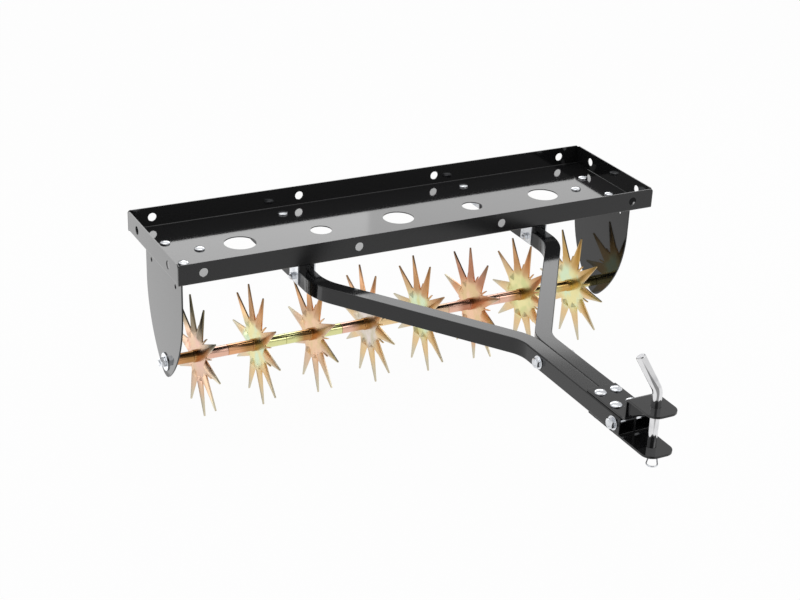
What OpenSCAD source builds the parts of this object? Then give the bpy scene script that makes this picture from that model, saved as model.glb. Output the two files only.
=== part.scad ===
// Tow behind aerator: a ballast tray on two side plates, an axle with eight
// folded spike stars, and two bent square arms that meet in a pinned clevis.
// X runs along the axle, the hitch points to -Y, and Z is up.
// The lowest spikes stand on z = 0, and the origin is half way along the machine.

/* [Ballast tray] */
// Length of the tray along the axle
tray_len = 1016; // [900:2:1220]
// Depth of the tray from front wall to rear wall
tray_depth = 280; // [240:2:340]
// Height of the tray walls over the underside
tray_height = 41; // [34:1:60]
// Sheet thickness of the tray
tray_sheet = 2; // [1.5:0.1:3]
// Inner radius of the tray folds
tray_fold_r = 1.5; // [1:0.25:3]
// Radius on the free corners of the walls
wall_corner_r = 6; // [3:0.5:10]
// Gap between the end walls and the long walls
wall_gap = 1; // [0.5:0.1:2]
// Diameter of the strap holes in the walls
strap_hole_d = 17; // [12:0.5:20]
// Distance from a tray end to the nearest strap hole
strap_hole_inset = 48; // [36:1:60]
// Number of strap holes in each long wall
strap_hole_count = 4; // [2:1:6]
// Distance from a long wall to the strap holes in the end walls
end_hole_inset = 54; // [40:1:70]
// Diameter of the large holes in the tray floor
floor_hole_large_d = 62; // [40:1:80]
// Diameter of the small holes in the tray floor
floor_hole_small_d = 42; // [25:1:60]
// Distance between neighbouring floor holes
floor_hole_pitch = 167.5; // [150:0.5:175]

/* [Side plates] */
// Thickness of the side plates
plate_t = 3; // [2:0.5:5]
// Distance from a tray end to the outer face of its side plate
plate_inset = 20; // [12:1:30]
// Width of a side plate under the tray
plate_w = 194; // [170:2:220]
// Length of the straight sides below the tray
plate_straight = 74; // [40:1:100]
// Radius of the rounded lower end round the axle
plate_nose_r = 30; // [24:1:40]
// Distance from the tray underside down to the axle
axle_drop = 219; // [190:1:250]
// Inner radius of the fold between plate and flange
plate_fold_r = 2; // [1:0.5:4]
// Length of the flange under the tray floor
flange_len = 92; // [84:1:110]
// Width of the flange at its fold
flange_w = 160; // [140:2:170]
// Width of the flange at its free end
flange_tip_w = 50; // [36:1:80]
// Distance from the plate's outer face to the pair of flange bolts
flange_pair_inset = 22; // [18:1:30]
// Distance between the two bolts of the pair
flange_pair_pitch = 100; // [80:1:120]
// Distance from the plate's outer face to the single flange bolt
flange_single_inset = 72; // [60:1:76]
// Diameter of the two spare holes in each side plate
spare_hole_d = 9; // [6:0.5:12]
// Distance between the two spare holes
spare_hole_pitch = 132; // [100:2:150]
// Distance from the tray underside to the spare holes
spare_hole_drop = 34; // [22:1:50]

/* [Axle and hubs] */
// Diameter of the axle rod
axle_d = 12; // [10:0.5:16]
// Radial running clearance of the hub tubes on the axle
running_clearance = 0.05; // [0.02:0.01:0.09]
// Outer diameter of the hub tubes
hub_tube_d = 22; // [19:0.5:30]
// End play left between neighbouring hub tubes
hub_end_play = 0.3; // [0.3:0.05:0.6]
// Diameter of the weld collars beside each star
collar_d = 25; // [24:0.5:34]
// Width of one weld collar
collar_w = 9; // [2:0.5:14]
// Outer diameter of the large axle washers
axle_washer_d = 36; // [30:1:44]
// Thickness of the axle washers
axle_washer_t = 2.5; // [1.5:0.5:3]
// Width across flats of the axle nuts
axle_nut_af = 19; // [18:1:24]
// Height of the axle nuts
axle_nut_h = 10; // [8:0.5:11]

/* [Spike stars] */
// Diameter over the spike tips
star_tip_d = 240; // [210:2:270]
// Number of spikes on a star
spike_count = 10; // [8:1:12]
// Sheet thickness of a star
star_t = 3; // [2:0.5:4]
// Distance from the axle to the root of a spike
spike_root_r = 50; // [40:1:60]
// Width of a spike at its root
spike_root_w = 27; // [18:0.5:27]
// Width of a spike at its tip
spike_tip_w = 2.2; // [1.5:0.1:5]
// Height of the fold in a spike at its root
fold_height = 5.5; // [2:0.5:8]
// Length of the dart in which the fold runs out on the disc
dart_len = 13; // [6:1:18]
// Length of the short ears between the spikes
ear_len = 15; // [8:1:20]
// Distance that an ear's tip is bent out of the disc
ear_bend = 5; // [0:0.5:8]
// Width of an ear at its tip
ear_tip_w = 1.6; // [1:0.1:3]

/* [Drawbar arms] */
// Outer width and height of the square tube
arm_w = 30; // [26:1:34]
// Wall thickness of the square tube
arm_wall = 2; // [1.5:0.1:3]
// Outer corner radius of the square tube
arm_corner_r = 2; // [1.5:0.5:4]
// Radius of the root bends on the tube's centre line
root_bend_r = 110; // [80:2:130]
// Radius of the front bends on the tube's centre line
front_bend_r = 76; // [60:2:100]
// Distance from the machine's centre to an arm's root
arm_spread = 252; // [230:1:270]
// Distance from the tray underside to the top of the arms
arm_drop = 19; // [12:1:24]
// Distance from the tray's centre line to the rear end of the arms
arm_rear = 124; // [118:1:130]
// Distance from the tray's centre line to the corner of the root bend
root_bend_at = 177; // [170:1:200]
// Distance from the tray's centre line to the corner of the front bend
front_bend_at = 520; // [480:5:560]
// Distance from the tray's centre line to the front end of the arms
arm_reach = 820; // [790:5:860]

/* [Arm brackets] */
// Sheet thickness of the angle brackets
bracket_t = 3; // [2:0.5:4]
// Width of an angle bracket along the arm
bracket_w = 38; // [30:1:40]
// Length of the leg under the tray floor
bracket_out = 45; // [42:1:60]
// Length of the leg beside the arm
bracket_down = 46; // [44:1:60]
// Inner radius of the bracket's fold
bracket_fold_r = 2.5; // [1:0.5:4]
// Distance from the arm's side to the floor bolt of a bracket
bracket_bolt_out = 33; // [28:1:34]
// Distance from the tray walls to the middle of the brackets
bracket_inset = 37; // [32:1:44]

/* [Hitch] */
// Width of the hitch plates
hitch_w = 55; // [50:1:60]
// Thickness of the hitch plates
hitch_t = 4; // [3:0.5:6]
// Length of the upper plate on the arms
upper_strap_len = 98; // [90:1:120]
// Length of the lower plate under the arms
lower_strap_len = 88; // [84:1:120]
// Height from the top of the arms to the top of the upper ear
ear_rise = 40; // [30:1:60]
// Distance from the front end of the arms to the upper plate's web
web_ahead = 5; // [1:0.5:12]
// Length of the ears beyond the arms
ear_reach = 77; // [60:1:100]
// Radius of the ears' free corners
ear_corner_r = 19; // [5:0.5:24]
// Inner radius of the folds of the upper plate
hitch_fold_r = 3; // [1:0.5:6]
// Distance from the ears' front edge to the pin
pin_from_edge = 31; // [22:1:36]
// Distance between the hitch bolts across the bar
hitch_bolt_across = 30; // [26:1:32]
// Distance between the hitch bolts along the bar
hitch_bolt_along = 44; // [36:1:50]
// Distance from the front end of the arms to the nearest hitch bolts
hitch_bolt_back = 34; // [32:1:38]
// Distance from the front end of the arms to the front cross bolt
front_cross_back = 17; // [15:0.5:18]
// Distance from the front end of the arms to the rear cross bolt
mid_cross_back = 239; // [215:1:250]

/* [Hitch pin] */
// Diameter of the hitch pin
pin_d = 16; // [12:0.5:20]
// Radial running clearance of the pin in the ears
pin_clearance = 0.08; // [0.03:0.01:0.1]
// Length of the straight part above the upper ear
pin_above = 21; // [10:1:40]
// Length of the pin below the lower ear
pin_below = 16; // [14:1:24]
// Radius of the bend in the pin
pin_bend_r = 26; // [18:1:40]
// Angle of the bend in the pin
pin_bend = 30; // [15:1:60]
// Length of the straight part of the handle
pin_handle = 57; // [30:1:80]
// Size of the bevel on the pin's ends
pin_bevel = 1.5; // [0.5:0.5:3]
// Wire diameter of the spring clip
clip_wire_d = 2.6; // [2:0.2:3.2]
// Radius of the clip's eye to the middle of the wire
clip_eye_r = 8.5; // [5:0.5:10]
// Distance from the pin's axis to the middle of the eye
clip_eye_at = 33; // [26:0.5:40]
// Length of the clip's straight leg behind the pin's axis
clip_leg_back = 20; // [14:1:28]
// Angle over which the clip's other leg follows the pin
clip_hug = 52; // [30:1:70]

/* [Fasteners] */
// Thread diameter of the small bolts
small_bolt_d = 8; // [6:1:10]
// Head diameter of the round head bolts
round_head_d = 20; // [16:0.5:22]
// Head height of the round head bolts
round_head_h = 4.6; // [3:0.2:6]
// Width across flats of the small nuts
small_nut_af = 13; // [12:0.5:17]
// Height of the small nuts
small_nut_h = 6.5; // [5:0.5:8]
// Thread diameter of the cross bolts
cross_bolt_d = 10; // [8:0.5:12]
// Width across flats of the cross bolts and their nuts
cross_af = 17; // [14:0.5:19]
// Head height of the cross bolts
cross_head_h = 6.5; // [5:0.5:8]
// Diameter of the cross bolt washers
cross_washer_d = 24; // [20:0.5:26]
// Thickness of the cross bolt washers
cross_washer_t = 2; // [1:0.5:3]
// Length of thread that stands out of a nut
thread_out = 3; // [1:0.5:5]
// Radial clearance of every bolt in its hole
bolt_clearance = 0.3; // [0.1:0.05:0.5]
// Radial clearance between a nut or washer and its thread
thread_clearance = 0.1; // [0.05:0.01:0.2]

/* [Hidden] */
$fn = 64;
STARS = 8;
// A bend is this much thicker than the straight length that runs into it
SEAM = 0.02;
// Depth to which the straight length runs into the bend, so that both make one solid
SEAM_REACH = 0.2;
// Smallest radius inside a corner of the square tube
MIN_INNER_R = 0.6;
// How far a cut runs past the face that it opens
CUT = 1;
// Colours of the coated steel, the yellow zinc, the bright zinc and the pin
BLACK = [0.1, 0.1, 0.11];
YELLOW_ZINC = [0.84, 0.7, 0.36];
BRIGHT_ZINC = [0.78, 0.79, 0.8];
PIN_PLATING = [0.86, 0.87, 0.88];

// Largest part of a step round the disc that half a spike may fill
SPIKE_SHARE = 0.44;
// Turn of each star about the axle, from spike up towards the hitch
STAR_TURNS = [-19, -17.5, -21, -14, -14.5, -26, -10, -12.5];
// Compass direction of the pin's handle, from +X towards +Y
HANDLE_DIRECTION = 145;
// Turn of the spring clip and its cross hole about the pin
CLIP_TURN = -46;

spike_step = 360 / spike_count;
// A spike stays narrower than its share of the disc, so that the ears find room
spike_w = min(spike_root_w, 2 * spike_root_r * sin(SPIKE_SHARE * spike_step));
star_r = star_tip_d / 2;
// How far the lowest tip of a star hangs below the axle at a given turn
function tip_reach(turn) = star_r * cos(abs(turn - spike_step * round(turn / spike_step)));
axle_z = max([for (turn = STAR_TURNS) tip_reach(turn)]);
tray_bottom = axle_z + axle_drop;
tray_top = tray_bottom + tray_height;
floor_top = tray_bottom + tray_sheet;

ear_front = arm_reach + ear_reach;
pin_at = ear_front - pin_from_edge;
// Distance from the pin's axis forward to the front of the clip's eye
clip_ahead = clip_eye_at * cos(CLIP_TURN) - clip_eye_r * sin(CLIP_TURN) + clip_eye_r + clip_wire_d / 2;
// The whole machine lies centred between the tray's back and the hitch's foremost point
axle_y = (max(ear_front, pin_at + clip_ahead) - tray_depth / 2) / 2;

tray_bend_r = tray_fold_r + tray_sheet;
plate_outer_x = tray_len / 2 - plate_inset;
plate_inner_x = plate_outer_x - plate_t;
plate_bend_r = plate_fold_r + plate_t;
hub_pitch = (2 * plate_inner_x - hub_end_play) / STARS;
hub_tube_len = hub_pitch - hub_end_play;

arm_top = tray_bottom - arm_drop;
arm_mid = arm_top - arm_w / 2;
arm_bottom = arm_top - arm_w;
arm_run = front_bend_at - root_bend_at;
arm_angle = atan((arm_spread - arm_w / 2) / arm_run);
root_tangent = root_bend_r * tan(arm_angle / 2);
front_tangent = front_bend_r * tan(arm_angle / 2);
tube_inner_r = max(arm_corner_r - arm_wall, MIN_INNER_R);

ear_top = arm_top + ear_rise;
lower_ear_bottom = arm_bottom - hitch_t;
clip_z = lower_ear_bottom - pin_below / 2;
bracket_bend_r = bracket_fold_r + bracket_t;

// Moves a piece that is drawn round the tray's centre line to its place
module at_tray() {
    translate([0, axle_y, 0]) children();
}

// Draws a piece and its mirror image on the other side of the machine
module both_sides() {
    children();
    mirror([1, 0, 0]) children();
}

// Rectangle with rounded corners, centred
module rounded_rect(w, h, r) {
    square([w - 2 * r, h], center = true);
    square([w, h - 2 * r], center = true);
    for (sx = [-1, 1], sy = [-1, 1])
        translate([sx * (w / 2 - r), sy * (h / 2 - r)]) circle(r);
}

// Plate outline that rounds its two corners on the +Y side, from y = 0 to y = h
module round_end(w, h, r) {
    translate([-w / 2, 0]) square([w, h - r]);
    translate([-w / 2 + r, 0]) square([w - 2 * r, h]);
    for (sx = [-1, 1]) translate([sx * (w / 2 - r), h - r]) circle(r);
}

// Quarter of a folded sheet, its outer corner on the origin, along +X
module fold_strip(length, inner_r, sheet) {
    outer_r = inner_r + sheet;
    translate([-length / 2, outer_r, outer_r]) rotate([0, 90, 0]) linear_extrude(length)
        intersection() {
            difference() {
                circle(outer_r);
                circle(inner_r);
            }
            translate([0, -outer_r]) square([outer_r, outer_r]);
        }
}

// Hexagonal prism by its width across flats
module hex(af, h) {
    cylinder(d = af / cos(30), h = h, $fn = 6);
}

// Round head bolt, head up, the underside of the head on z = 0
module round_head_bolt(length) {
    sphere_r = (pow(round_head_d / 2, 2) + pow(round_head_h, 2)) / (2 * round_head_h);
    intersection() {
        translate([0, 0, round_head_h - sphere_r]) sphere(sphere_r);
        cylinder(d = round_head_d + CUT, h = round_head_h + CUT);
    }
    translate([0, 0, -length]) cylinder(d = small_bolt_d, h = length);
}

// Hexagonal head bolt, the underside of the head on z = 0, shank down
module hex_head_bolt(d, af, head_h, length) {
    hex(af, head_h);
    translate([0, 0, -length]) cylinder(d = d, h = length);
}

// Nut with its bearing face on z = 0, body downwards
module nut(d, af, h) {
    translate([0, 0, -h]) difference() {
        hex(af, h);
        translate([0, 0, -CUT]) cylinder(d = d + 2 * thread_clearance, h = h + 2 * CUT);
    }
}

// Flat washer from z = 0 upwards
module washer(d, bore, t) {
    difference() {
        cylinder(d = d, h = t);
        translate([0, 0, -CUT]) cylinder(d = bore + 2 * thread_clearance, h = t + 2 * CUT);
    }
}

// The round head bolts that hold one side plate, as places on the tray floor
module at_flange_bolts() {
    for (sy = [-1, 1])
        translate([plate_outer_x - flange_pair_inset, sy * flange_pair_pitch / 2, 0]) children();
    translate([plate_outer_x - flange_single_inset, 0, 0]) children();
}

// The places of the bracket bolts in the tray floor on one side
module at_bracket_bolts() {
    front_y = -tray_depth / 2 + bracket_inset;
    inner_x = arm_spread - arm_w / 2 - bracket_bolt_out;
    outer_x = arm_spread + arm_w / 2 + bracket_bolt_out;
    for (place = [[inner_x, front_y], [outer_x, front_y], [inner_x, -front_y]])
        translate([place[0], place[1], 0]) children();
}

// One wall of the tray, standing on z = 0, outside face on y = 0
module tray_wall(width, height, hole_places, hole_height) {
    translate([0, tray_sheet, 0]) rotate([90, 0, 0]) linear_extrude(tray_sheet) difference() {
        round_end(width, height, wall_corner_r);
        for (x = hole_places) translate([x, hole_height]) circle(d = strap_hole_d);
    }
}

module weight_tray() {
    strap_span = tray_len - 2 * strap_hole_inset;
    strap_x = [for (i = [0:strap_hole_count - 1]) (i / (strap_hole_count - 1) - 0.5) * strap_span];
    end_x = tray_depth / 2 - end_hole_inset;
    wall_h = tray_height - tray_bend_r;
    hole_h = tray_height / 2 - tray_bend_r;
    bolt_hole_d = small_bolt_d + 2 * bolt_clearance;
    color(BLACK) at_tray() translate([0, 0, tray_bottom]) {
        difference() {
            linear_extrude(tray_sheet)
                square([tray_len - 2 * tray_bend_r, tray_depth - 2 * tray_bend_r], center = true);
            for (i = [-2:2]) translate([i * floor_hole_pitch, 0, -CUT])
                cylinder(d = i % 2 == 0 ? floor_hole_large_d : floor_hole_small_d, h = tray_sheet + 2 * CUT);
            both_sides() {
                at_flange_bolts() translate([0, 0, -CUT])
                    cylinder(d = bolt_hole_d, h = tray_sheet + 2 * CUT);
                at_bracket_bolts() translate([0, 0, -CUT])
                    cylinder(d = bolt_hole_d, h = tray_sheet + 2 * CUT);
            }
        }
        for (turn = [0, 180]) rotate([0, 0, turn]) {
            translate([0, -tray_depth / 2, 0]) {
                fold_strip(tray_len, tray_fold_r, tray_sheet);
                translate([0, 0, tray_bend_r]) tray_wall(tray_len, wall_h, strap_x, hole_h);
            }
        }
        for (turn = [90, 270]) rotate([0, 0, turn]) {
            translate([0, -tray_len / 2, 0]) {
                fold_strip(tray_depth - 2 * tray_bend_r, tray_fold_r, tray_sheet);
                translate([0, 0, tray_bend_r])
                    tray_wall(tray_depth - 2 * (tray_sheet + wall_gap), wall_h, [-end_x, end_x], hole_h);
            }
        }
    }
}

// Outline of a side plate below its fold: straight sides, two long arcs, a round nose
module plate_outline() {
    half = plate_w / 2;
    arc_h = axle_drop - plate_straight;
    arc_r = (half * half + arc_h * arc_h - plate_nose_r * plate_nose_r) / (2 * (half - plate_nose_r));
    nose_turn = atan2(arc_h, arc_r - half);
    cut_y = axle_drop + plate_nose_r * sin(nose_turn);
    translate([-half, -plate_straight]) square([plate_w, plate_straight - plate_bend_r]);
    intersection() {
        translate([half - arc_r, -plate_straight]) circle(arc_r + SEAM, $fn = 180);
        translate([arc_r - half, -plate_straight]) circle(arc_r + SEAM, $fn = 180);
        translate([-plate_w, -cut_y]) square([2 * plate_w, cut_y - plate_straight + SEAM_REACH]);
    }
    translate([0, -axle_drop]) circle(plate_nose_r + 2 * SEAM);
}

// The right side plate; the left one is its mirror image
module side_plate() {
    bolt_hole_d = small_bolt_d + 2 * bolt_clearance;
    flange_start = plate_outer_x - plate_bend_r;
    flange_end = plate_outer_x - flange_len;
    color(BLACK) at_tray() translate([0, 0, tray_bottom]) {
        translate([plate_inner_x, 0, 0]) rotate([90, 0, 90]) linear_extrude(plate_t) difference() {
            plate_outline();
            translate([0, -axle_drop]) circle(d = axle_d + 2 * bolt_clearance);
            for (s = [-1, 1])
                translate([s * spare_hole_pitch / 2, -spare_hole_drop]) circle(d = spare_hole_d);
        }
        translate([plate_outer_x, 0, 0]) rotate([180, 0, -90]) fold_strip(flange_w, plate_fold_r, plate_t);
        difference() {
            translate([0, 0, -plate_t]) linear_extrude(plate_t) polygon([
                [flange_start, -flange_w / 2], [flange_start, flange_w / 2],
                [plate_outer_x - flange_pair_inset - round_head_d / 2, flange_w / 2],
                [flange_end, flange_tip_w / 2], [flange_end, -flange_tip_w / 2],
                [plate_outer_x - flange_pair_inset - round_head_d / 2, -flange_w / 2]
            ]);
            at_flange_bolts() translate([0, 0, -plate_t - CUT])
                cylinder(d = bolt_hole_d, h = plate_t + 2 * CUT);
        }
    }
}

module side_plate_bolts() {
    length = tray_sheet + plate_t + small_nut_h + thread_out;
    color(BRIGHT_ZINC) at_tray() translate([0, 0, floor_top])
        both_sides() at_flange_bolts() round_head_bolt(length);
}

module side_plate_nuts() {
    color(BRIGHT_ZINC) at_tray() translate([0, 0, tray_bottom - plate_t])
        both_sides() at_flange_bolts() nut(small_bolt_d, small_nut_af, small_nut_h);
}

// Cross section of the square tube with its round corners, thinner by slim
module tube_section(slim = 0) {
    outer = arm_w - slim;
    inner = arm_w - 2 * arm_wall + slim;
    difference() {
        rounded_rect(outer, outer, arm_corner_r);
        rounded_rect(inner, inner, tube_inner_r);
    }
}

// Straight length of tube towards -Y
module tube_run(length, slim = 0) {
    rotate([90, 0, 0]) linear_extrude(length) tube_section(slim);
}

// Bent length of tube, turning from +X towards +Y about the origin
module tube_bend(bend_r) {
    rotate_extrude(angle = arm_angle, $fn = 96) translate([bend_r, 0]) tube_section();
}

// Left arm: root under the tray, slanting middle, and front half of the bar
module arm() {
    root_x = -arm_spread;
    root_end = -root_bend_at + root_tangent;
    front_start = -front_bend_at - front_tangent;
    slant_len = arm_run / cos(arm_angle) - root_tangent - front_tangent;
    slant_x = root_x + root_tangent * sin(arm_angle);
    slant_y = -root_bend_at - root_tangent * cos(arm_angle);
    hole_d = cross_bolt_d + 2 * bolt_clearance;
    small_hole_d = small_bolt_d + 2 * bolt_clearance;
    color(BLACK) at_tray() difference() {
        translate([0, 0, arm_mid]) {
            translate([root_x, arm_rear, 0]) tube_run(arm_rear - root_end);
            translate([root_x + root_bend_r, root_end, 0]) rotate([0, 0, 180]) tube_bend(root_bend_r);
            translate([slant_x, slant_y, 0]) rotate([0, 0, arm_angle])
                translate([0, SEAM_REACH, 0]) tube_run(slant_len + 2 * SEAM_REACH, SEAM);
            translate([-arm_w / 2 - front_bend_r, front_start, 0]) tube_bend(front_bend_r);
            translate([-arm_w / 2, front_start, 0]) tube_run(arm_reach + front_start);
        }
        for (back = [front_cross_back, mid_cross_back])
            translate([-arm_w - CUT, -arm_reach + back, arm_mid]) rotate([0, 90, 0])
                cylinder(d = hole_d, h = arm_w + 2 * CUT);
        for (back = [0, hitch_bolt_along])
            translate([-hitch_bolt_across / 2, -arm_reach + hitch_bolt_back + back, arm_bottom - CUT])
                cylinder(d = small_hole_d, h = arm_w + 2 * CUT);
        for (s = [-1, 1])
            translate([root_x - arm_w / 2 - CUT, s * (tray_depth / 2 - bracket_inset), arm_mid])
                rotate([0, 90, 0]) cylinder(d = small_hole_d, h = arm_w + 2 * CUT);
    }
}

// Angle bracket on the +X side of a face at the origin, top of its leg on z = 0
module bracket() {
    hole_d = small_bolt_d + 2 * bolt_clearance;
    color(BRIGHT_ZINC) difference() {
        union() {
            rotate([180, 0, 90]) fold_strip(bracket_w, bracket_fold_r, bracket_t);
            translate([bracket_bend_r, 0, -bracket_t]) rotate([0, 0, -90]) linear_extrude(bracket_t)
                round_end(bracket_w, bracket_out - bracket_bend_r, bracket_t);
            translate([0, 0, -bracket_bend_r]) rotate([90, 180, 90]) linear_extrude(bracket_t)
                round_end(bracket_w, bracket_down - bracket_bend_r, bracket_t);
        }
        translate([bracket_bolt_out, 0, -bracket_t - CUT]) cylinder(d = hole_d, h = bracket_t + 2 * CUT);
        translate([-CUT, 0, -arm_drop - arm_w / 2]) rotate([0, 90, 0])
            cylinder(d = hole_d, h = bracket_t + 2 * CUT);
    }
}

// Places a bracket on the outer or inner side of the right arm
module at_arm_side(outer, front) {
    y = (front ? -1 : 1) * (tray_depth / 2 - bracket_inset);
    at_tray() translate([arm_spread + (outer ? 1 : -1) * arm_w / 2, y, tray_bottom])
        mirror([outer ? 0 : 1, 0, 0]) children();
}

module bracket_floor_bolts() {
    length = tray_sheet + bracket_t + small_nut_h + thread_out;
    color(BRIGHT_ZINC) at_tray() translate([0, 0, floor_top])
        both_sides() at_bracket_bolts() round_head_bolt(length);
}

module bracket_floor_nuts() {
    color(BRIGHT_ZINC) at_tray() translate([0, 0, tray_bottom - bracket_t])
        both_sides() at_bracket_bolts() nut(small_bolt_d, small_nut_af, small_nut_h);
}

// Bolts through the arms and their brackets; heads on +X, nuts on -X
module arm_root_bolts() {
    front_grip = arm_w + 2 * bracket_t;
    color(BRIGHT_ZINC) at_tray() for (s = [-1, 1]) {
        translate([s * arm_spread + front_grip / 2, -tray_depth / 2 + bracket_inset, arm_mid])
            rotate([0, 90, 0]) hex_head_bolt(small_bolt_d, small_nut_af, small_nut_h,
                front_grip + small_nut_h + thread_out);
        translate([s * arm_spread + rear_grip_end(s, 1), tray_depth / 2 - bracket_inset, arm_mid])
            rotate([0, 90, 0]) hex_head_bolt(small_bolt_d, small_nut_af, small_nut_h,
                arm_w + bracket_t + small_nut_h + thread_out);
    }
}

// Distance from an arm's middle to the end of the rear clamped stack, on its +X or -X side
function rear_grip_end(s, side) = arm_w / 2 + (s * side < 0 ? bracket_t : 0);

module arm_root_nuts() {
    color(BRIGHT_ZINC) at_tray() for (s = [-1, 1]) {
        translate([s * arm_spread - arm_w / 2 - bracket_t, -tray_depth / 2 + bracket_inset, arm_mid])
            rotate([0, 90, 0]) nut(small_bolt_d, small_nut_af, small_nut_h);
        translate([s * arm_spread - rear_grip_end(s, -1), tray_depth / 2 - bracket_inset, arm_mid])
            rotate([0, 90, 0]) nut(small_bolt_d, small_nut_af, small_nut_h);
    }
}

// Outline of a hitch plate from its rear edge on y = 0 towards -Y
module strap(length) {
    mirror([0, 1, 0]) translate([-hitch_w / 2, 0]) square([hitch_w, length]);
}

// Places on the bar of the four round head bolts
module at_hitch_bolts() {
    for (sx = [-1, 1], back = [0, hitch_bolt_along])
        translate([sx * hitch_bolt_across / 2, -arm_reach + hitch_bolt_back + back, 0]) children();
}

module hitch_upper_plate() {
    bend_r = hitch_fold_r + hitch_t;
    web_back = -arm_reach - web_ahead;
    web_h = ear_rise - 2 * bend_r;
    ear_start = web_back - bend_r;
    color(BLACK) at_tray() difference() {
        union() {
            translate([0, -arm_reach + upper_strap_len, arm_top]) linear_extrude(hitch_t)
                strap(upper_strap_len + web_ahead - hitch_fold_r);
            translate([0, web_back + hitch_fold_r, arm_top + bend_r]) rotate([0, 90, 0])
                linear_extrude(hitch_w, center = true) intersection() {
                    difference() {
                        circle(bend_r);
                        circle(hitch_fold_r);
                    }
                    translate([0, -bend_r]) square(bend_r);
                }
            translate([-hitch_w / 2, web_back - hitch_t, arm_top + bend_r])
                cube([hitch_w, hitch_t, web_h]);
            translate([0, ear_start, ear_top - bend_r]) rotate([0, 90, 0])
                linear_extrude(hitch_w, center = true) intersection() {
                    difference() {
                        circle(bend_r);
                        circle(hitch_fold_r);
                    }
                    translate([-bend_r, 0]) square(bend_r);
                }
            translate([0, ear_start, ear_top - hitch_t]) linear_extrude(hitch_t)
                mirror([0, 1, 0]) round_end(hitch_w, ear_front + ear_start, ear_corner_r);
        }
        translate([0, -pin_at, ear_top - hitch_t - CUT])
            cylinder(d = pin_d + 2 * pin_clearance, h = hitch_t + 2 * CUT);
        at_hitch_bolts() translate([0, 0, arm_top - CUT])
            cylinder(d = small_bolt_d + 2 * bolt_clearance, h = hitch_t + 2 * CUT);
    }
}

module hitch_lower_plate() {
    length = lower_strap_len + ear_reach;
    color(BLACK) at_tray() difference() {
        translate([0, -arm_reach + lower_strap_len, lower_ear_bottom]) linear_extrude(hitch_t)
            mirror([0, 1, 0]) round_end(hitch_w, length, ear_corner_r);
        translate([0, -pin_at, lower_ear_bottom - CUT])
            cylinder(d = pin_d + 2 * pin_clearance, h = hitch_t + 2 * CUT);
        at_hitch_bolts() translate([0, 0, lower_ear_bottom - CUT])
            cylinder(d = small_bolt_d + 2 * bolt_clearance, h = hitch_t + 2 * CUT);
    }
}

module hitch_bolts() {
    length = arm_w + 2 * hitch_t + small_nut_h + thread_out;
    color(BRIGHT_ZINC) at_tray() at_hitch_bolts()
        translate([0, 0, arm_top + hitch_t]) round_head_bolt(length);
}

module hitch_nuts() {
    color(BRIGHT_ZINC) at_tray() at_hitch_bolts()
        translate([0, 0, lower_ear_bottom]) nut(small_bolt_d, small_nut_af, small_nut_h);
}

// Places of the two cross bolts through both arms
module at_cross_bolts() {
    for (back = [front_cross_back, mid_cross_back])
        translate([0, -arm_reach + back, arm_mid]) children();
}

module cross_bolts() {
    grip = 2 * (arm_w + cross_washer_t);
    length = grip + cross_head_h + thread_out;
    color(BRIGHT_ZINC) at_tray() at_cross_bolts() translate([-grip / 2, 0, 0])
        rotate([0, -90, 0]) hex_head_bolt(cross_bolt_d, cross_af, cross_head_h, length);
}

module cross_washers() {
    color(BRIGHT_ZINC) at_tray() at_cross_bolts() for (s = [-1, 1])
        translate([s * arm_w, 0, 0]) rotate([0, s * 90, 0])
            washer(cross_washer_d, cross_bolt_d, cross_washer_t);
}

module cross_nuts() {
    color(BRIGHT_ZINC) at_tray() at_cross_bolts()
        translate([arm_w + cross_washer_t, 0, 0]) rotate([0, -90, 0])
            nut(cross_bolt_d, cross_af, cross_head_h);
}

module axle_rod() {
    half = plate_outer_x + axle_washer_t + axle_nut_h + thread_out;
    color(BRIGHT_ZINC) at_tray() translate([-half, 0, axle_z]) rotate([0, 90, 0])
        cylinder(d = axle_d, h = 2 * half);
}

module axle_washers() {
    color(BRIGHT_ZINC) at_tray() for (s = [-1, 1])
        translate([s * plate_outer_x, 0, axle_z]) rotate([0, s * 90, 0])
            washer(axle_washer_d, axle_d, axle_washer_t);
}

module axle_nuts() {
    color(BRIGHT_ZINC) at_tray() for (s = [-1, 1])
        translate([s * (plate_outer_x + axle_washer_t), 0, axle_z]) rotate([0, -s * 90, 0])
            nut(axle_d, axle_nut_af, axle_nut_h);
}

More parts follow.
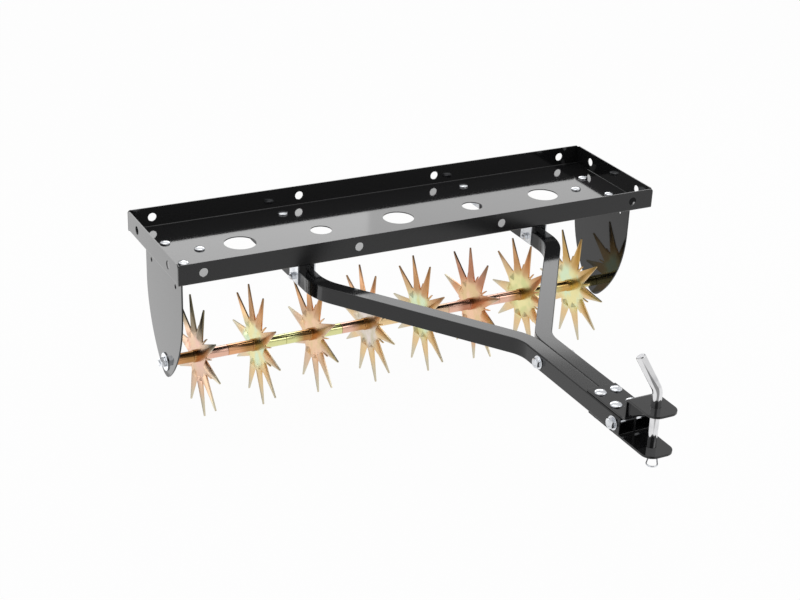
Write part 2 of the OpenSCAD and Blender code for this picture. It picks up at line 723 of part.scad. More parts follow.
// One star cut and folded from sheet, flat on z = 0, its ridges towards +Z.
// Going round, each step has the dart's point, the three root points of a spike,
// its three tip points, and the two tip points of the ear that follows.
module folded_star() {
    tip_fold = fold_height * spike_tip_w / spike_w;
    root_turn = asin(spike_w / 2 / spike_root_r);
    ear_r = spike_root_r + ear_len;
    steps = [0:spike_count - 1];
    spike = [
        [0, spike_root_r - dart_len, 0],
        [-spike_w / 2, spike_root_r * cos(root_turn), 0],
        [0, spike_root_r * cos(root_turn), fold_height],
        [spike_w / 2, spike_root_r * cos(root_turn), 0],
        [-spike_tip_w / 2, star_r, 0],
        [0, star_r, tip_fold],
        [spike_tip_w / 2, star_r, 0],
        [ear_r * sin(spike_step / 2) - ear_tip_w / 2, ear_r * cos(spike_step / 2), -ear_bend],
        [ear_r * sin(spike_step / 2) + ear_tip_w / 2, ear_r * cos(spike_step / 2), -ear_bend]
    ];
    n = len(spike);
    total = n * spike_count;
    upper = [for (k = steps, p = spike) [
        p[0] * cos(k * spike_step) + p[1] * sin(k * spike_step),
        p[1] * cos(k * spike_step) - p[0] * sin(k * spike_step),
        p[2] + star_t / 2
    ]];
    lower = [for (p = upper) [p[0], p[1], p[2] - star_t]];
    // Index of point i of step k, counted round the star
    function at(k, i) = (k % spike_count) * n + i;
    disc = [for (k = steps, i = [1, 0, 3]) at(k, i)];
    folds = [for (k = steps) each [
        [at(k, 0), at(k, 1), at(k, 2)],
        [at(k, 0), at(k, 2), at(k, 3)],
        [at(k, 1), at(k, 4), at(k, 5), at(k, 2)],
        [at(k, 2), at(k, 5), at(k, 6), at(k, 3)],
        [at(k, 3), at(k, 7), at(k + 1, 1)],
        [at(k, 7), at(k, 8), at(k + 1, 1)]
    ]];
    rim = [for (k = steps, i = [1, 4, 5, 6, 3, 7, 8]) at(k, i)];
    sides = [for (j = [0:len(rim) - 1]) let (a = rim[j], b = rim[(j + 1) % len(rim)])
        [a, a + total, b + total, b]];
    top_faces = concat([disc], folds);
    bottom_faces = [for (face = top_faces) [for (j = [len(face) - 1:-1:0]) face[j] + total]];
    polyhedron(points = concat(upper, lower), faces = concat(top_faces, bottom_faces, sides));
}

// Star number i, its ridges towards -X, turned about the axle
module star(i) {
    x = (i - (STARS + 1) / 2) * hub_pitch;
    color(YELLOW_ZINC) at_tray() translate([x, 0, axle_z])
        rotate([-STAR_TURNS[i - 1], 0, 0]) rotate([0, -90, 0]) rotate([0, 0, 90]) difference() {
            folded_star();
            translate([0, 0, -star_t]) cylinder(d = hub_tube_d + 2 * thread_clearance, h = 2 * star_t);
        }
}

// Hub tube number i, with a weld collar against each side of its star
module hub_tube(i) {
    x = (i - (STARS + 1) / 2) * hub_pitch;
    color(YELLOW_ZINC) at_tray() translate([x, 0, axle_z]) rotate([0, 90, 0]) difference() {
        union() {
            cylinder(d = hub_tube_d, h = hub_tube_len, center = true);
            for (s = [-1, 1]) translate([0, 0, s * (star_t + collar_w) / 2])
                cylinder(d = collar_d, h = collar_w, center = true);
        }
        cylinder(d = axle_d + 2 * running_clearance, h = hub_tube_len + 2 * CUT, center = true);
    }
}

module hitch_pin() {
    straight = ear_top + pin_above - (lower_ear_bottom - pin_below);
    color(PIN_PLATING) at_tray() translate([0, -pin_at, lower_ear_bottom - pin_below])
        difference() {
            union() {
                cylinder(d1 = pin_d - 2 * pin_bevel, d2 = pin_d, h = pin_bevel);
                translate([0, 0, pin_bevel])
                    cylinder(d = pin_d, h = straight - pin_bevel + SEAM_REACH);
                translate([0, 0, straight]) rotate([0, 0, HANDLE_DIRECTION]) {
                    translate([pin_bend_r, 0, 0]) rotate([90, 0, 180]) rotate_extrude(angle = pin_bend)
                        translate([pin_bend_r, 0]) circle(d = pin_d + SEAM);
                    translate([pin_bend_r, 0, 0]) rotate([0, pin_bend, 0]) translate([-pin_bend_r, 0, 0]) {
                        translate([0, 0, -SEAM_REACH])
                            cylinder(d = pin_d, h = pin_handle - pin_bevel + SEAM_REACH);
                        translate([0, 0, pin_handle - pin_bevel])
                            cylinder(d1 = pin_d, d2 = pin_d - 2 * pin_bevel, h = pin_bevel);
                    }
                }
            }
            translate([0, 0, pin_below / 2]) rotate([90, 0, CLIP_TURN])
                cylinder(d = clip_wire_d + 2 * thread_clearance, h = pin_d + 2 * CUT, center = true);
        }
}

// Spring clip of bent wire: leg through the pin, round eye, and a leg that hugs the pin
module pin_clip() {
    hug_r = (pin_d + clip_wire_d) / 2 + bolt_clearance;
    apart = norm([clip_eye_r, clip_eye_at]);
    leave = atan2(clip_eye_at, -clip_eye_r) - acos((clip_eye_r - hug_r) / apart);
    reach = sqrt(apart * apart - pow(hug_r - clip_eye_r, 2));
    color(BRIGHT_ZINC) at_tray() translate([0, -pin_at, clip_z]) rotate([0, 0, CLIP_TURN]) {
        translate([0, clip_leg_back, 0]) rotate([90, 0, 0])
            cylinder(d = clip_wire_d, h = clip_leg_back + clip_eye_at);
        translate([clip_eye_r, -clip_eye_at, 0]) rotate([0, 0, 180])
            rotate_extrude(angle = 180 + leave) translate([clip_eye_r, 0]) circle(d = clip_wire_d);
        rotate([0, 0, leave]) {
            translate([hug_r, SEAM_REACH, 0]) rotate([90, 0, 0])
                cylinder(d = clip_wire_d - SEAM, h = reach + 2 * SEAM_REACH);
            rotate_extrude(angle = clip_hug) translate([hug_r, 0]) circle(d = clip_wire_d);
            rotate([0, 0, clip_hug]) translate([hug_r, -SEAM_REACH, 0]) rotate([-90, 0, 0])
                cylinder(d = clip_wire_d - SEAM, h = clip_eye_r + SEAM_REACH);
        }
    }
}

weight_tray();
mirror([1, 0, 0]) side_plate();  // left_side_plate
side_plate();  // right_side_plate
side_plate_bolts();
side_plate_nuts();
arm();  // left_arm
mirror([1, 0, 0]) arm();  // right_arm
mirror([1, 0, 0]) at_arm_side(true, true) bracket();  // left_outer_bracket
mirror([1, 0, 0]) at_arm_side(false, true) bracket();  // left_inner_bracket
mirror([1, 0, 0]) at_arm_side(false, false) bracket();  // left_rear_bracket
at_arm_side(true, true) bracket();  // right_outer_bracket
at_arm_side(false, true) bracket();  // right_inner_bracket
at_arm_side(false, false) bracket();  // right_rear_bracket
bracket_floor_bolts();
bracket_floor_nuts();
arm_root_bolts();
arm_root_nuts();
hitch_upper_plate();
hitch_lower_plate();
hitch_bolts();
hitch_nuts();
cross_bolts();
cross_washers();
cross_nuts();
axle_rod();
axle_washers();
axle_nuts();
for (i = [1:STARS]) star(i);
for (i = [1:STARS]) hub_tube(i);
hitch_pin();
pin_clip();
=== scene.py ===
"""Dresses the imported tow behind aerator: worked edges, threads, finishes, studio and camera."""

import logging
import math
from dataclasses import dataclass
from enum import Enum
from functools import cache
from typing import Any, Callable, ClassVar, Sequence

import bmesh
import bpy
from mathutils import Matrix, Vector


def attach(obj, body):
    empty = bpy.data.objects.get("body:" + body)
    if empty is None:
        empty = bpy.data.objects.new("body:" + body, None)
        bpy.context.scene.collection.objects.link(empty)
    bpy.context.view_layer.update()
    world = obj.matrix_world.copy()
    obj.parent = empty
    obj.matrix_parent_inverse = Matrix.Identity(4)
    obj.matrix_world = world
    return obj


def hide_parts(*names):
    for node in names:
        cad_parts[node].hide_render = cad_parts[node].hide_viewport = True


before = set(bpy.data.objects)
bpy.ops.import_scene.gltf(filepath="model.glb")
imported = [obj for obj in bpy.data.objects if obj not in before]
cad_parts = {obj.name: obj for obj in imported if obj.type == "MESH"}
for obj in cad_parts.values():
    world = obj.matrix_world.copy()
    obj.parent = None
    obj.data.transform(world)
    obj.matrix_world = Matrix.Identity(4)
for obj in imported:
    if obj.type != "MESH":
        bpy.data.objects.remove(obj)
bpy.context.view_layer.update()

log = logging.getLogger("aerator")
Colour = tuple[float, float, float]
Point = tuple[float, float, float]
Span = tuple[float, float]
Profile = Sequence[tuple[float, float]]
Row = Callable[[float], tuple[float, float]]
Part = bmesh.types.BMesh
Socket = bpy.types.NodeSocket

ORIGIN: Point = (0.0, 0.0, 0.0)
UP: Point = (0.0, 0.0, 1.0)
DOWN: Point = (0.0, 0.0, -1.0)
RIGHT: Point = (1.0, 0.0, 0.0)
LEFT: Point = (-1.0, 0.0, 0.0)
SIDES = (-1, 1)


class Slot(str, Enum):
    """The record's material slots."""

    BLACK = "black_powder_coat"
    YELLOW = "yellow_zinc"
    BRIGHT = "bright_zinc"
    CHROME = "pin_chrome"


class Body(str, Enum):
    """The rigid bodies that carry pieces; a star wheel adds its number."""

    FRAME = "machine_frame"
    STAR = "star_wheel_"
    PIN = "locking_pin"

    def numbered(self, number: int) -> str:
        """The name of one body of several alike."""
        return f"{self.value}{number}"


@dataclass(frozen=True)
class Layout:
    """Places that several sub-assemblies share, in metres."""

    middle: float = 0.382419
    axle: float = 0.118177
    tray_underside: float = 0.337177
    tray_sheet: float = 0.002
    tray_rim: float = 0.378177
    plate_sheet: float = 0.003
    plate_outer: float = 0.488
    arm_top: float = 0.318177
    arm_width: float = 0.030
    hitch_sheet: float = 0.004
    pin_back: float = -0.866
    star_pitch: float = 0.1212125
    stars: int = 8
    bore_play: float = 0.0001

    @property
    def tray_floor(self) -> float:
        """Height of the tray floor's upper side."""
        return self.tray_underside + self.tray_sheet

    @property
    def arm_middle(self) -> float:
        """Height of the arms' centre line."""
        return self.arm_top - self.arm_width / 2

    @property
    def lower_ear(self) -> float:
        """Height of the lower hitch plate's underside."""
        return self.arm_top - self.arm_width - self.hitch_sheet

    def star_place(self, number: int) -> float:
        """How far along the axle a star stands, by its number from the left."""
        return (number - (self.stars + 1) / 2) * self.star_pitch


def tone(red: int, green: int, blue: int) -> Colour:
    """A finish colour as a paint card gives it.

    Args:
        red: 0 to 255, as seen on a screen.
        green: 0 to 255.
        blue: 0 to 255.

    Returns:
        The same colour as the shader counts it.
    """
    parts = [part / 255 for part in (red, green, blue)]
    r, g, b = (p / 12.92 if p <= 0.04045 else ((p + 0.055) / 1.055) ** 2.4 for p in parts)
    return (r, g, b)


class Hue(Enum):
    """Hues of the yellow passivation's thin film, on stars and tubes alike; some also serve as painted
    shade.
    """

    # This dark slate is no film hue: it is painted shade for the stars' upper spikes and their top tips.
    SHADE_SLATE = tone(92, 86, 60)
    SAND = tone(214, 204, 178)
    FAWN = tone(226, 192, 160)
    ROSE = tone(232, 186, 164)
    BLUSH = tone(252, 208, 172)
    PEACH = tone(236, 204, 154)
    CREAM = tone(234, 222, 214)
    STRAW = tone(246, 236, 174)
    LIME = tone(224, 224, 160)
    MINT = tone(224, 242, 206)
    OLIVE = tone(200, 188, 128)
    GOLD = tone(206, 166, 98)
    AMBER = tone(204, 148, 98)
    COPPER = tone(230, 172, 128)
    BRONZE = tone(184, 136, 84)
    RUST = tone(190, 132, 106)


def stand(place: Point, axis: Point = UP) -> Matrix:
    """Turns a part's +Z to an axis and sets it at a place.

    Args:
        place: where the part's origin goes, in metres.
        axis: the direction of its +Z.

    Returns:
        The matrix of that move.
    """
    if axis == DOWN:
        return Matrix.Translation(place) @ Matrix.Rotation(math.pi, 4, "X")
    turn = Vector(UP).rotation_difference(Vector(axis))
    return Matrix.Translation(place) @ turn.to_matrix().to_4x4()


class Value:
    """A number socket of a shader; an expression on it adds the Math nodes."""

    def __init__(self, nodes: "Nodes", socket: Socket) -> None:
        """Wraps one output socket."""
        self.nodes = nodes
        self.socket = socket

    def math(self, operation: str, *others: "Value | float", clamp: bool = False) -> "Value":
        """Adds a Math node on this value and any others, held between 0 and 1 by a clamp."""
        settings = {"operation": operation, "use_clamp": clamp}
        return self.nodes.value("ShaderNodeMath", settings, dict(enumerate((self, *others))))

    def __add__(self, other: "Value | float") -> "Value":
        """Sum."""
        return self.math("ADD", other)

    def __sub__(self, other: "Value | float") -> "Value":
        """Difference."""
        return self.math("SUBTRACT", other)

    def __rsub__(self, other: float) -> "Value":
        """A number minus this value."""
        return self.math("MULTIPLY", -1.0) + other

    def __mul__(self, other: "Value | float") -> "Value":
        """Product."""
        return self.math("MULTIPLY", other)

    def __truediv__(self, other: "Value | float") -> "Value":
        """Quotient."""
        return self.math("DIVIDE", other)

    def __pow__(self, other: "Value | float") -> "Value":
        """Power."""
        return self.math("POWER", other)

    __radd__ = __add__
    __rmul__ = __mul__

    def clamped(self) -> "Value":
        """This value held between 0 and 1."""
        return self.math("ADD", 0.0, clamp=True)

    def rise(self, low: float, high: float) -> "Value":
        """A smooth step from 0 at low to 1 at high."""
        smooth = {"interpolation_type": "SMOOTHSTEP"}
        return self.nodes.value("ShaderNodeMapRange", smooth, {0: self, 1: low, 2: high})


class Nodes:
    """A node tree and the one way in which nodes are added to it."""

    def __init__(self, tree: bpy.types.NodeTree) -> None:
        """Wraps a tree."""
        self.tree = tree

    def node(
        self, kind: str, settings: dict[str, Any] | None = None, inputs: dict[Any, Any] | None = None
    ) -> bpy.types.Node:
        """Adds a node.

        Args:
            kind: the node's type.
            settings: attributes, set first; "stops" holds a ramp's (place, colour) pairs.
            inputs: value, socket or Value of each input by its name or number.

        Returns:
            The node.
        """
        node = self.tree.nodes.new(kind)
        for key, value in (settings or {}).items():
            if key == "stops":
                self._set_stops(node.color_ramp, value)
            else:
                setattr(node, key, value)
        for key, value in (inputs or {}).items():
            self.plug(node.inputs[key], value)
        return node

    def value(
        self, kind: str, settings: dict[str, Any] | None = None, inputs: dict[Any, Any] | None = None
    ) -> Value:
        """Adds a node as node() does and wraps its first output, a number."""
        return Value(self, self.node(kind, settings, inputs).outputs[0])

    def plug(self, socket: Socket, value: Any) -> None:
        """Links a socket or sets its constant.

        Args:
            socket: the input.
            value: a Value or socket to link, or a number, colour or vector.
        """
        if isinstance(value, Value):
            self.tree.links.new(value.socket, socket)
        elif isinstance(value, Socket):
            self.tree.links.new(value, socket)
        elif isinstance(value, tuple) and socket.type == "RGBA":
            socket.default_value = (*value[:3], 1.0)
        else:
            socket.default_value = value

    @staticmethod
    def _set_stops(ramp: bpy.types.ColorRamp, stops: Sequence[tuple[float, Colour]]) -> None:
        """Fills a colour ramp.

        Args:
            ramp: the ramp.
            stops: place and colour of each stop.
        """
        while len(ramp.elements) < len(stops):
            ramp.elements.new(0.5)
        for element, (place, colour) in zip(ramp.elements, stops):
            element.position = place
            element.color = (*colour, 1.0)


class Shader(Nodes):
    """One material's node tree, started with a Principled shader and Object coordinates."""

    def __init__(self, name: str) -> None:
        """Makes the material.

        Args:
            name: the material's name.
        """
        self.material = bpy.data.materials.new(name)
        self.material.use_nodes = True
        super().__init__(self.material.node_tree)
        self.principled = self.tree.nodes["Principled BSDF"]
        self.place = self.node("ShaderNodeTexCoord").outputs["Object"]

    def noise(
        self, scale: float, detail: float = 2.0, stretch: Point = (1.0, 1.0, 1.0), shift: Point = ORIGIN
    ) -> Value:
        """Noise on Object coordinates.

        Args:
            scale: how many cells go into a metre.
            detail: the number of finer octaves.
            stretch: how much the pattern is scaled along each axis.
            shift: where the pattern is moved to, in metres.

        Returns:
            The noise, about 0.5.
        """
        moved = {"Vector": self.place, "Scale": stretch, "Location": shift}
        place = self.node("ShaderNodeMapping", inputs=moved).outputs[0]
        inputs = {"Vector": place, "Scale": scale, "Detail": detail}
        return self.value("ShaderNodeTexNoise", inputs=inputs)

    def ramp(self, factor: Value, stops: Sequence[tuple[float, Colour]]) -> Socket:
        """The colour that a ramp of (place, colour) stops has at a factor."""
        return self.node("ShaderNodeValToRGB", {"stops": stops}, {0: factor}).outputs[0]

    def mix(self, factor: Value, first: Any, second: Any) -> Socket:
        """Mixes two colours; a factor of 0 gives the first, 1 the second."""
        made = self.node("ShaderNodeMix", {"data_type": "RGBA"}, {0: factor, 6: first, 7: second})
        return made.outputs[2]

    def axis(self, letter: str) -> Value:
        """One Object coordinate in metres, by its letter."""
        split = self.node("ShaderNodeSeparateXYZ", inputs={0: self.place})
        return Value(self, split.outputs[letter])

    def bump(self, *layers: tuple[Value, float, float]) -> None:
        """Chains Bump nodes into the shader's Normal.

        Args:
            layers: triples of height, strength and distance in metres.
        """
        below: dict[str, Any] = {}
        for height, strength, distance in layers:
            inputs = {"Height": height, "Strength": strength, "Distance": distance, **below}
            below = {"Normal": self.node("ShaderNodeBump", inputs=inputs).outputs[0]}
        self.feed(**below)

    def feed(self, **sockets: Any) -> None:
        """Sets or links the Principled shader's sockets, each named with _ for a space."""
        for key, value in sockets.items():
            self.plug(self.principled.inputs[key.replace("_", " ")], value)


@dataclass(frozen=True)
class PowderCoat:
    """Smooth glossy black powder coat: a faint orange peel and a breath of dust."""

    slot: ClassVar[Slot] = Slot.BLACK
    name: str = "black powder coat"
    base: Colour = (0.008, 0.008, 0.0085)
    dusty: Colour = (0.03, 0.03, 0.031)
    dust_share: float = 0.35
    roughness: float = 0.045
    peel_scale: float = 260.0
    speck_scale: float = 1100.0
    dull_before: float = -10.0
    dull_fade: float = 0.0005
    dull: float = 0.16

    def material(self) -> bpy.types.Material:
        """Builds the finish.

        Returns:
            Its material.
        """
        shader = Shader(self.name)
        front = 1 - shader.axis("Y").rise(self.dull_before - self.dull_fade, self.dull_before)
        cloud = shader.noise(7.0, 3.0)
        speck = shader.noise(self.speck_scale, 1.0)
        peel = shader.noise(self.peel_scale, 1.0)
        dust = (cloud.rise(0.5, 0.85) * speck.rise(0.55, 0.85) * self.dust_share).clamped()
        shader.feed(
            Base_Color=shader.mix(dust, self.base, self.dusty),
            Roughness=self.roughness + cloud * 0.02 + dust * 0.1 + front * self.dull,
        )
        shader.bump((peel, 0.035, 0.0001))
        return shader.material


@dataclass(frozen=True)
class StarFilm:
    """Yellow passivated zinc on one star: soft zones of hue from its disc out to its tips, with painted
    shade over its upper spikes, darkest at their tips.
    """

    slot: ClassVar[Slot] = Slot.YELLOW
    number: int
    disc: Hue
    glow: Hue
    root: Hue
    shaded_crown: Hue
    tip: Hue = Hue.SAND
    disc_zone: Span = (0.036, 0.062)
    tip_zone: Span = (0.066, 0.108)
    shaded_crown_zone: Span = (0.03, 0.062)
    top_shade_zone: Span = (0.084, 0.12)
    shaded_crown_share: float = 0.85
    top_shade_share: float = 0.6
    layout: Layout = Layout()

    def material(self) -> bpy.types.Material:
        """Builds the finish.

        Returns:
            Its material.
        """
        shader = Shader(f"star film {self.number}")
        shift = (0.31 * self.number, 0.17 * self.number, 0.23 * self.number)
        back = shader.axis("Y") - self.layout.middle
        rise = shader.axis("Z") - self.layout.axle
        drift = shader.noise(16.0, 1.0, shift=shift) - 0.5
        cloud = shader.noise(34.0, 2.0, shift=shift)
        grain = shader.noise(420.0, 2.0)
        reach = (back * back + rise * rise) ** 0.5 + drift * 0.035
        disc = shader.mix(cloud.rise(0.36, 0.64), self.disc.value, self.glow.value)
        inner = shader.mix(reach.rise(*self.disc_zone), disc, self.root.value)
        outer = shader.mix(reach.rise(*self.tip_zone), inner, self.tip.value)
        # Painted shade: above the axle the spikes turn to the deeper crown hue, and their outer tips to
        # dark slate.
        high = (rise + drift * 0.03).rise(*self.shaded_crown_zone) * self.shaded_crown_share
        with_shaded_crown = shader.mix(high, outer, self.shaded_crown.value)
        top_shade = reach.rise(*self.top_shade_zone) * high * self.top_shade_share
        shader.feed(
            Base_Color=shader.mix(top_shade, with_shaded_crown, Hue.SHADE_SLATE.value),
            Metallic=1.0,
            Roughness=0.24 + cloud * 0.08 + grain * 0.04,
        )
        shader.bump((cloud, 0.05, 0.0006), (grain, 0.04, 0.00005))
        return shader.material


@dataclass(frozen=True)
class TubeFilm:
    """Yellow passivated zinc on one hub tube, drawn smooth, with painted shade of a deeper hue just left
    of its star.
    """

    slot: ClassVar[Slot] = Slot.YELLOW
    number: int
    left: Hue
    star_shade: Hue
    right: Hue
    layout: Layout = Layout()

    def material(self) -> bpy.types.Material:
        """Builds the finish.

        Returns:
            Its material.
        """
        shader = Shader(f"tube film {self.number}")
        cloud = shader.noise(30.0, 2.0, stretch=(1.0, 0.4, 0.4))
        drawn = shader.noise(500.0, 1.0, stretch=(0.04, 1.0, 1.0))
        pitch = self.layout.star_pitch
        along = (shader.axis("X") - self.layout.star_place(self.number)) / pitch + 0.5
        # Painted shade: the tube takes the deeper middle hue just left of its star.
        stops = (
            (0.0, self.left.value), (0.16, self.left.value), (0.32, self.star_shade.value),
            (0.5, self.star_shade.value), (0.62, self.right.value), (1.0, self.right.value),
        )
        shader.feed(
            Base_Color=shader.ramp((along + cloud * 0.1 - 0.05).clamped(), stops),
            Metallic=1.0,
            Roughness=0.13 + drawn * 0.04,
        )
        shader.bump((drawn, 0.003, 0.00003))
        return shader.material


@dataclass(frozen=True)
class BrightZinc:
    """Bright zinc plating on fasteners and brackets."""

    slot: ClassVar[Slot] = Slot.BRIGHT
    name: str = "bright zinc"
    light: Colour = tone(232, 234, 237)
    dull: Colour = tone(206, 209, 214)
    roughness: float = 0.13
    scale: float = 110.0
    grain_scale: float = 1300.0

    def material(self) -> bpy.types.Material:
        """Builds the finish.

        Returns:
            Its material.
        """
        shader = Shader(self.name)
        cloud = shader.noise(self.scale, 3.0)
        grain = shader.noise(self.grain_scale, 1.0)
        shader.feed(
            Base_Color=shader.mix(cloud.rise(0.38, 0.66), self.light, self.dull),
            Metallic=1.0,
            Roughness=self.roughness + cloud * 0.09 + grain * 0.03,
        )
        shader.bump((grain, 0.03, 0.00005))
        return shader.material


@dataclass(frozen=True)
class PinPlating:
    """Smooth bright plating of the hitch pin, drawn along its length; its ends are sawn."""

    slot: ClassVar[Slot] = Slot.CHROME
    name: str = "pin plating"
    light: Colour = tone(232, 232, 233)
    shade: Colour = tone(214, 214, 216)
    sawn: Colour = tone(158, 158, 160)
    roughness: float = 0.07
    handle_way: Point = UP
    handle_end: float = 0.44
    foot: float = 0.25
    face: Span = (0.0003, 0.0006)

    def material(self) -> bpy.types.Material:
        """Builds the finish.

        Returns:
            Its material.
        """
        shader = Shader(self.name)
        drawn = shader.noise(650.0, 2.0, stretch=(1.0, 1.0, 0.04))
        cloud = shader.noise(50.0, 2.0)
        x, y, z = self.handle_way
        thin, deep = self.face
        height = shader.axis("Z")
        reach = shader.axis("X") * x + shader.axis("Y") * y + height * z
        cut = reach.rise(self.handle_end - deep, self.handle_end - thin)
        cut = (cut + 1 - height.rise(self.foot + thin, self.foot + deep)).clamped()
        plated = shader.mix(cloud.rise(0.4, 0.7), self.light, self.shade)
        shader.feed(
            Base_Color=shader.mix(cut, plated, self.sawn),
            Metallic=1.0,
            Roughness=self.roughness + drawn * 0.05 + cut * 0.25,
        )
        shader.bump((drawn, 0.004, 0.00003))
        return shader.material


@dataclass(frozen=True)
class StudioPaper:
    """The white floor: pale for the lamps, plain white where the camera sees it.

    In mirrors it is bright, but darker in a lane that widens towards the photographer, a painted shadow of
    the photographer, and in a strip behind the machine, a painted shadow of the machine.
    """

    name: str = "studio paper"
    colour: Colour = (0.62, 0.62, 0.625)
    faded: Colour = (0.58, 0.58, 0.59)
    shown_white: float = 0.97
    mirrored_white: float = 0.92
    lane_left: float = 0.25
    lane_front: float = 0.9
    lane_slope: float = 0.12
    lane_half: float = 0.2
    lane_taper: float = 0.55
    lane_edge: Span = (0.8, 1.25)
    lane_end: Span = (-0.95, -0.75)
    lane_shadow: float = 0.68
    strip_front: Span = (0.74, 0.82)
    strip_left: Span = (-0.585, -0.56)
    strip_right: Span = (-0.2, 0.1)
    strip_shadow: float = 0.25

    def material(self) -> bpy.types.Material:
        """Builds the finish.

        Returns:
            Its material.
        """
        shader = Shader(self.name)
        grain = shader.noise(30.0, 2.0)
        shader.feed(
            Base_Color=shader.mix(grain, self.colour, self.faded),
            Roughness=0.9,
            Specular_IOR_Level=0.0,
        )
        path = shader.node("ShaderNodeLightPath")
        camera = Value(shader, path.outputs["Is Camera Ray"])
        mirrored = Value(shader, path.outputs["Is Glossy Ray"])
        across, along = shader.axis("X"), shader.axis("Y")
        # The lane is a painted shadow of the photographer and the strip a painted shadow of the machine;
        # both show in mirrors only.
        ahead = along + self.lane_front
        aside = (across + self.lane_left - ahead * self.lane_slope).math("ABSOLUTE")
        lane = 1 - (aside / (self.lane_half - ahead * self.lane_taper)).rise(*self.lane_edge)
        front = lane * (1 - along.rise(*self.lane_end))
        strip = across.rise(*self.strip_left) * (1 - across.rise(*self.strip_right))
        behind = along.rise(*self.strip_front) * strip
        bright = (1 - front * self.lane_shadow) * (1 - behind * self.strip_shadow) * self.mirrored_white
        seen = camera + (1 - camera) * bright
        dark, light = (
            shader.node("ShaderNodeEmission", inputs={"Strength": strength}).outputs[0]
            for strength in (0.0, 1.0)
        )
        glow = shader.node("ShaderNodeMixShader", inputs={0: seen, 1: dark, 2: light}).outputs[0]
        white = (camera * self.shown_white + mirrored).clamped()
        paper = shader.principled.outputs[0]
        blend = shader.node("ShaderNodeMixShader", inputs={0: white, 1: paper, 2: glow}).outputs[0]
        shader.plug(shader.tree.nodes["Material Output"].inputs["Surface"], blend)
        return shader.material


Finish = PowderCoat | StarFilm | TubeFilm | BrightZinc | PinPlating


@cache
def finished(recipe: Finish) -> bpy.types.Material:
    """The material of a finish, made once."""
    return recipe.material()


def turned(profile: Profile, steps: int, ring: bool = False) -> Part:
    """Turns a part on the lathe about Z.

    Args:
        profile: its outline as points of radius and height.
        steps: how many faces go round.
        ring: whether the outline closes on itself, as a washer's does.

    Returns:
        The closed part.
    """
    same_point = 1e-7
    shape = bmesh.new()
    points = [shape.verts.new((radius, 0.0, height)) for radius, height in profile]
    ends = points[1:] + points[:1] if ring else points[1:]
    edges = [shape.edges.new(pair) for pair in zip(points, ends)]
    bmesh.ops.spin(
        shape, geom=[*points, *edges], axis=UP, cent=ORIGIN, angle=math.tau, steps=steps,
        use_merge=True, use_duplicate=False,
    )
    bmesh.ops.remove_doubles(shape, verts=shape.verts, dist=same_point)
    bmesh.ops.recalc_face_normals(shape, faces=shape.faces)
    return shape


def drawn_out(shape: Part, edges: Sequence[bmesh.types.BMEdge]) -> tuple[list, list]:
    """Extrudes a loop of edges in place.

    Args:
        shape: the part in the making.
        edges: the loop's edges.

    Returns:
        The new loop's points and edges.
    """
    grown = bmesh.ops.extrude_edge_only(shape, edges=list(edges))["geom"]
    points = [g for g in grown if isinstance(g, bmesh.types.BMVert)]
    fresh = set(points)
    loop = [g for g in grown if isinstance(g, bmesh.types.BMEdge) and fresh.issuperset(g.verts)]
    return points, loop


class Drawn:
    """A section drawn along straights and bends, as wire, rod and tube are."""

    def __init__(self, shape: Part) -> None:
        """Starts from the section that a shape holds.

        Args:
            shape: a loop of edges, or for a tube a ring of faces.
        """
        self.shape = shape
        self.points = list(shape.verts)
        self.edges = [edge for edge in shape.edges if len(edge.link_faces) < 2]

    def straight(self, step: Vector, grow: float = 1.0) -> None:
        """Runs on in a straight line.

        Args:
            step: its way and length.
            grow: how much the section swells on the way.
        """
        self.points, self.edges = drawn_out(self.shape, self.edges)
        bmesh.ops.translate(self.shape, verts=self.points, vec=step)
        middle = sum((point.co for point in self.points), Vector()) / len(self.points)
        bmesh.ops.scale(
            self.shape, verts=self.points, vec=(grow, grow, grow), space=Matrix.Translation(-middle)
        )

    def bend(self, centre: Vector, axis: Vector, angle: float, steps: int) -> None:
        """Runs on round a centre.

        Args:
            centre: the bend's centre.
            axis: the line that it turns about.
            angle: how far it turns, in radians.
            steps: how many faces follow the bend.
        """
        made = bmesh.ops.spin(
            self.shape, geom=[*self.points, *self.edges], axis=axis, cent=centre, angle=angle,
            steps=steps, use_merge=False, use_duplicate=False,
        )["geom_last"]
        self.points = [g for g in made if isinstance(g, bmesh.types.BMVert)]
        self.edges = [g for g in made if isinstance(g, bmesh.types.BMEdge)]

    def closed(self, hollow: bool = False) -> Part:
        """Closes the open ends.

        Args:
            hollow: whether the section is a ring.

        Returns:
            The closed part.
        """
        bmesh.ops.recalc_face_normals(self.shape, faces=self.shape.faces)
        if hollow:
            bmesh.ops.bridge_loops(self.shape, edges=self.edges)
        else:
            bmesh.ops.holes_fill(self.shape, edges=self.shape.edges, sides=0)
        bmesh.ops.recalc_face_normals(self.shape, faces=self.shape.faces)
        return self.shape


def milled(rows: Sequence[Row], steps: int, ring: bool) -> Part:
    """Builds a part round Z whose outline isn't round, row by row.

    Args:
        rows: one function a row, giving radius and height at an angle.
        steps: how many faces go round.
        ring: whether the last row joins the first, as in a nut.

    Returns:
        The closed part.
    """
    shape = bmesh.new()
    points = bmesh.ops.create_circle(shape, radius=1.0, segments=steps)["verts"]
    edges = list(shape.edges)
    first = list(edges)
    for index, row in enumerate(rows):
        if index:
            points, edges = drawn_out(shape, edges)
        for point in points:
            angle = math.atan2(point.co.y, point.co.x)
            radius, height = row(angle)
            point.co = (radius * math.cos(angle), radius * math.sin(angle), height)
    if ring:
        bmesh.ops.bridge_loops(shape, edges=[*first, *edges])
    else:
        bmesh.ops.holes_fill(shape, edges=shape.edges, sides=0)
    bmesh.ops.recalc_face_normals(shape, faces=shape.faces)
    return shape


